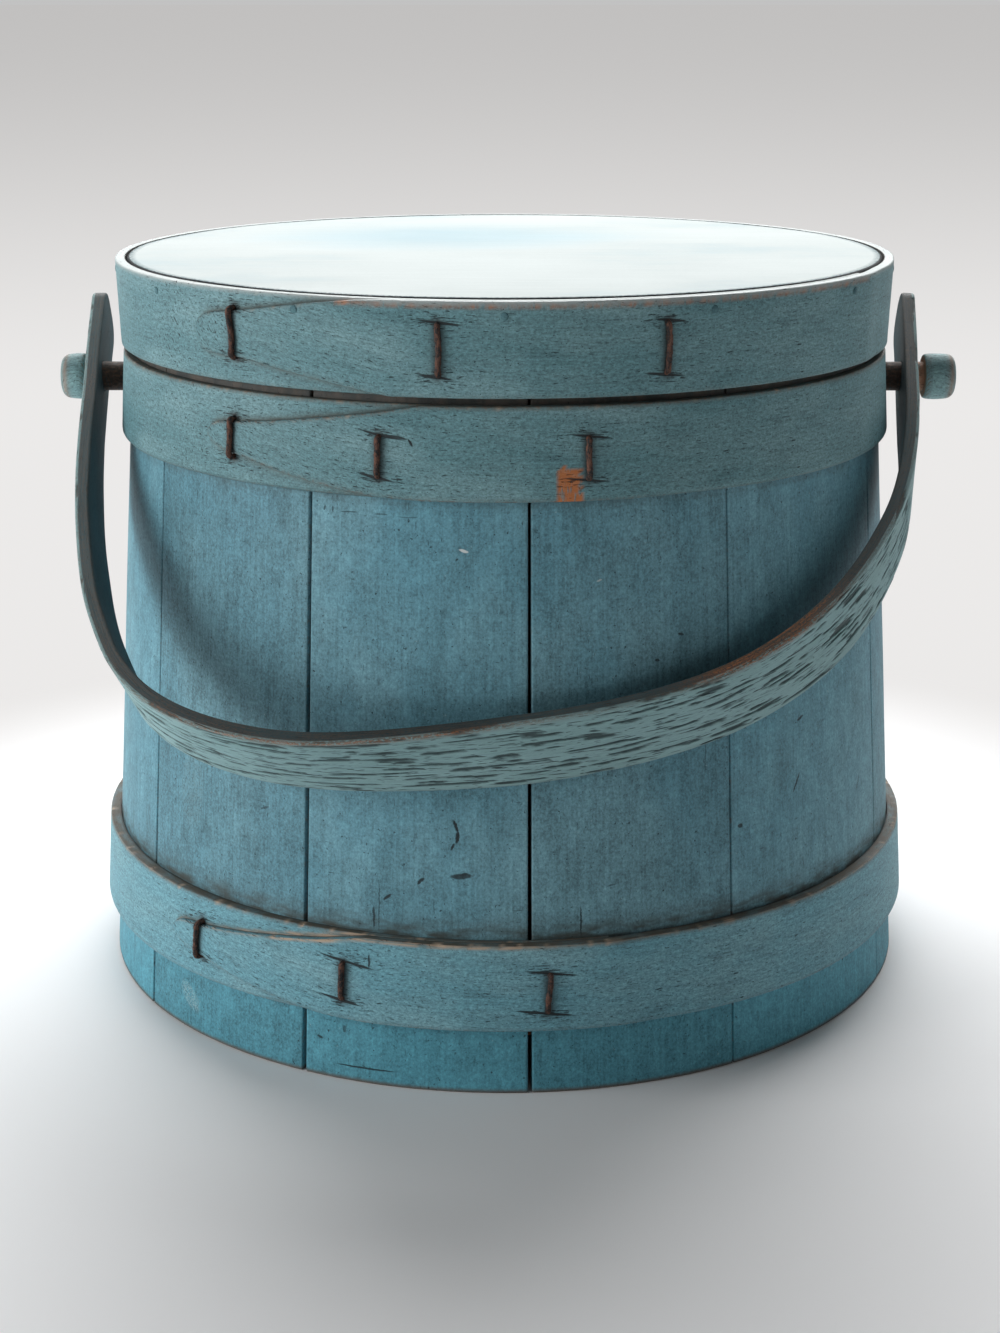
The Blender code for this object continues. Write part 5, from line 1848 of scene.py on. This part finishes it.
def floor_material(colours):
    """A pale floor that takes the shadow near the firkin, and fades to a grey backdrop far off."""
    material, graph, shader = new_material("floor", 0.9)
    shader.inputs["Base Color"].default_value = (*colours.floor, 1.0)
    place = graph.add("ShaderNodeTexCoord").outputs["Object"]
    _, y, _ = graph.split(place)
    away = graph.vector("LENGTH", place)
    nearness = graph.math("DIVIDE", 1.0, graph.plus(away, BACKDROP_NEAR))
    strength = graph.between(nearness, 0.0, 0.5, *BACKDROP_STRENGTHS)
    glow = graph.add("ShaderNodeEmission", {"Color": colours.backdrop, "Strength": strength})
    behind = graph.times(graph.between(away, 0.19, 0.40), graph.between(y, -0.05, 0.15))
    share = graph.math("MAXIMUM", graph.between(away, 0.50, 1.10), behind)
    share = graph.times(share, seen_share(graph))
    blend = graph.add("ShaderNodeMixShader", {0: share, 1: shader.outputs[0], 2: glow.outputs[0]})
    graph.feed(material.node_tree.nodes["Material Output"].inputs["Surface"], blend.outputs[0])
    return material


def seen_share(graph):
    """1 where the camera, a reflection or something clear looks, and 0 for other light."""
    ways = graph.add("ShaderNodeLightPath").outputs
    return graph.most([ways["Is Camera Ray"], ways["Is Glossy Ray"], ways["Is Transmission Ray"]])


def light_world(tree, strength):
    """Even light from all round, with a pale grey where the camera or a reflection sees it."""
    graph = Graph(tree)
    backdrop = tree.nodes["Background"]
    backdrop.inputs["Color"].default_value = (1.0, 1.0, 1.0, 1.0)
    seen = seen_share(graph)
    graph.feed(backdrop.inputs["Strength"], graph.between(seen, 0.0, 1.0, strength, SURROUNDINGS_SEEN))


def soft_light(name, place, target, size, power):
    """A large rectangular light that looks at a target."""
    lamp = bpy.data.lights.new(name, "AREA")
    lamp.shape = "RECTANGLE"
    lamp.size, lamp.size_y = size
    lamp.energy = power
    item = bpy.data.objects.new(name, lamp)
    bpy.context.scene.collection.objects.link(item)
    item.location = place
    item.rotation_euler = (Vector(target) - Vector(place)).to_track_quat("-Z", "Y").to_euler()
    item.visible_camera = False


class FIRKIN_PT_sidebar(bpy.types.Panel):
    """The steps that make the firkin, in order, with their sizes and colours"""

    bl_idname = "FIRKIN_PT_sidebar"
    bl_label = "Painted firkin"
    bl_space_type = "VIEW_3D"
    bl_region_type = "UI"
    bl_category = "Firkin"

    def draw(self, context):
        for step in STEPS:
            self.layout.operator(step.bl_idname)
        for group in ("firkin_sizes", "firkin_colours", "firkin_stage"):
            values = getattr(context.scene, group)
            box = self.layout.box()
            for key in values.__annotations__:
                box.prop(values, key)


STEPS = (
    FIRKIN_OT_stage,
    FIRKIN_OT_staves,
    FIRKIN_OT_bottom,
    FIRKIN_OT_hoops,
    FIRKIN_OT_lid,
    FIRKIN_OT_staples,
    FIRKIN_OT_tacks,
    FIRKIN_OT_handle,
    FIRKIN_OT_pegs,
)
CLASSES = (FirkinSizes, FirkinColours, FirkinStage, *STEPS, FIRKIN_PT_sidebar)
GROUPS = {"firkin_sizes": FirkinSizes, "firkin_colours": FirkinColours, "firkin_stage": FirkinStage}


def register():
    for item in CLASSES:
        bpy.utils.register_class(item)
    for name, group in GROUPS.items():
        setattr(bpy.types.Scene, name, bpy.props.PointerProperty(type=group))


def unregister():
    for name in GROUPS:
        delattr(bpy.types.Scene, name)
    for item in reversed(CLASSES):
        bpy.utils.unregister_class(item)


def main():
    register()
    for step in STEPS:
        area, word = step.bl_idname.split(".")
        getattr(getattr(bpy.ops, area), word)()


if __name__ == "__main__":
    main()
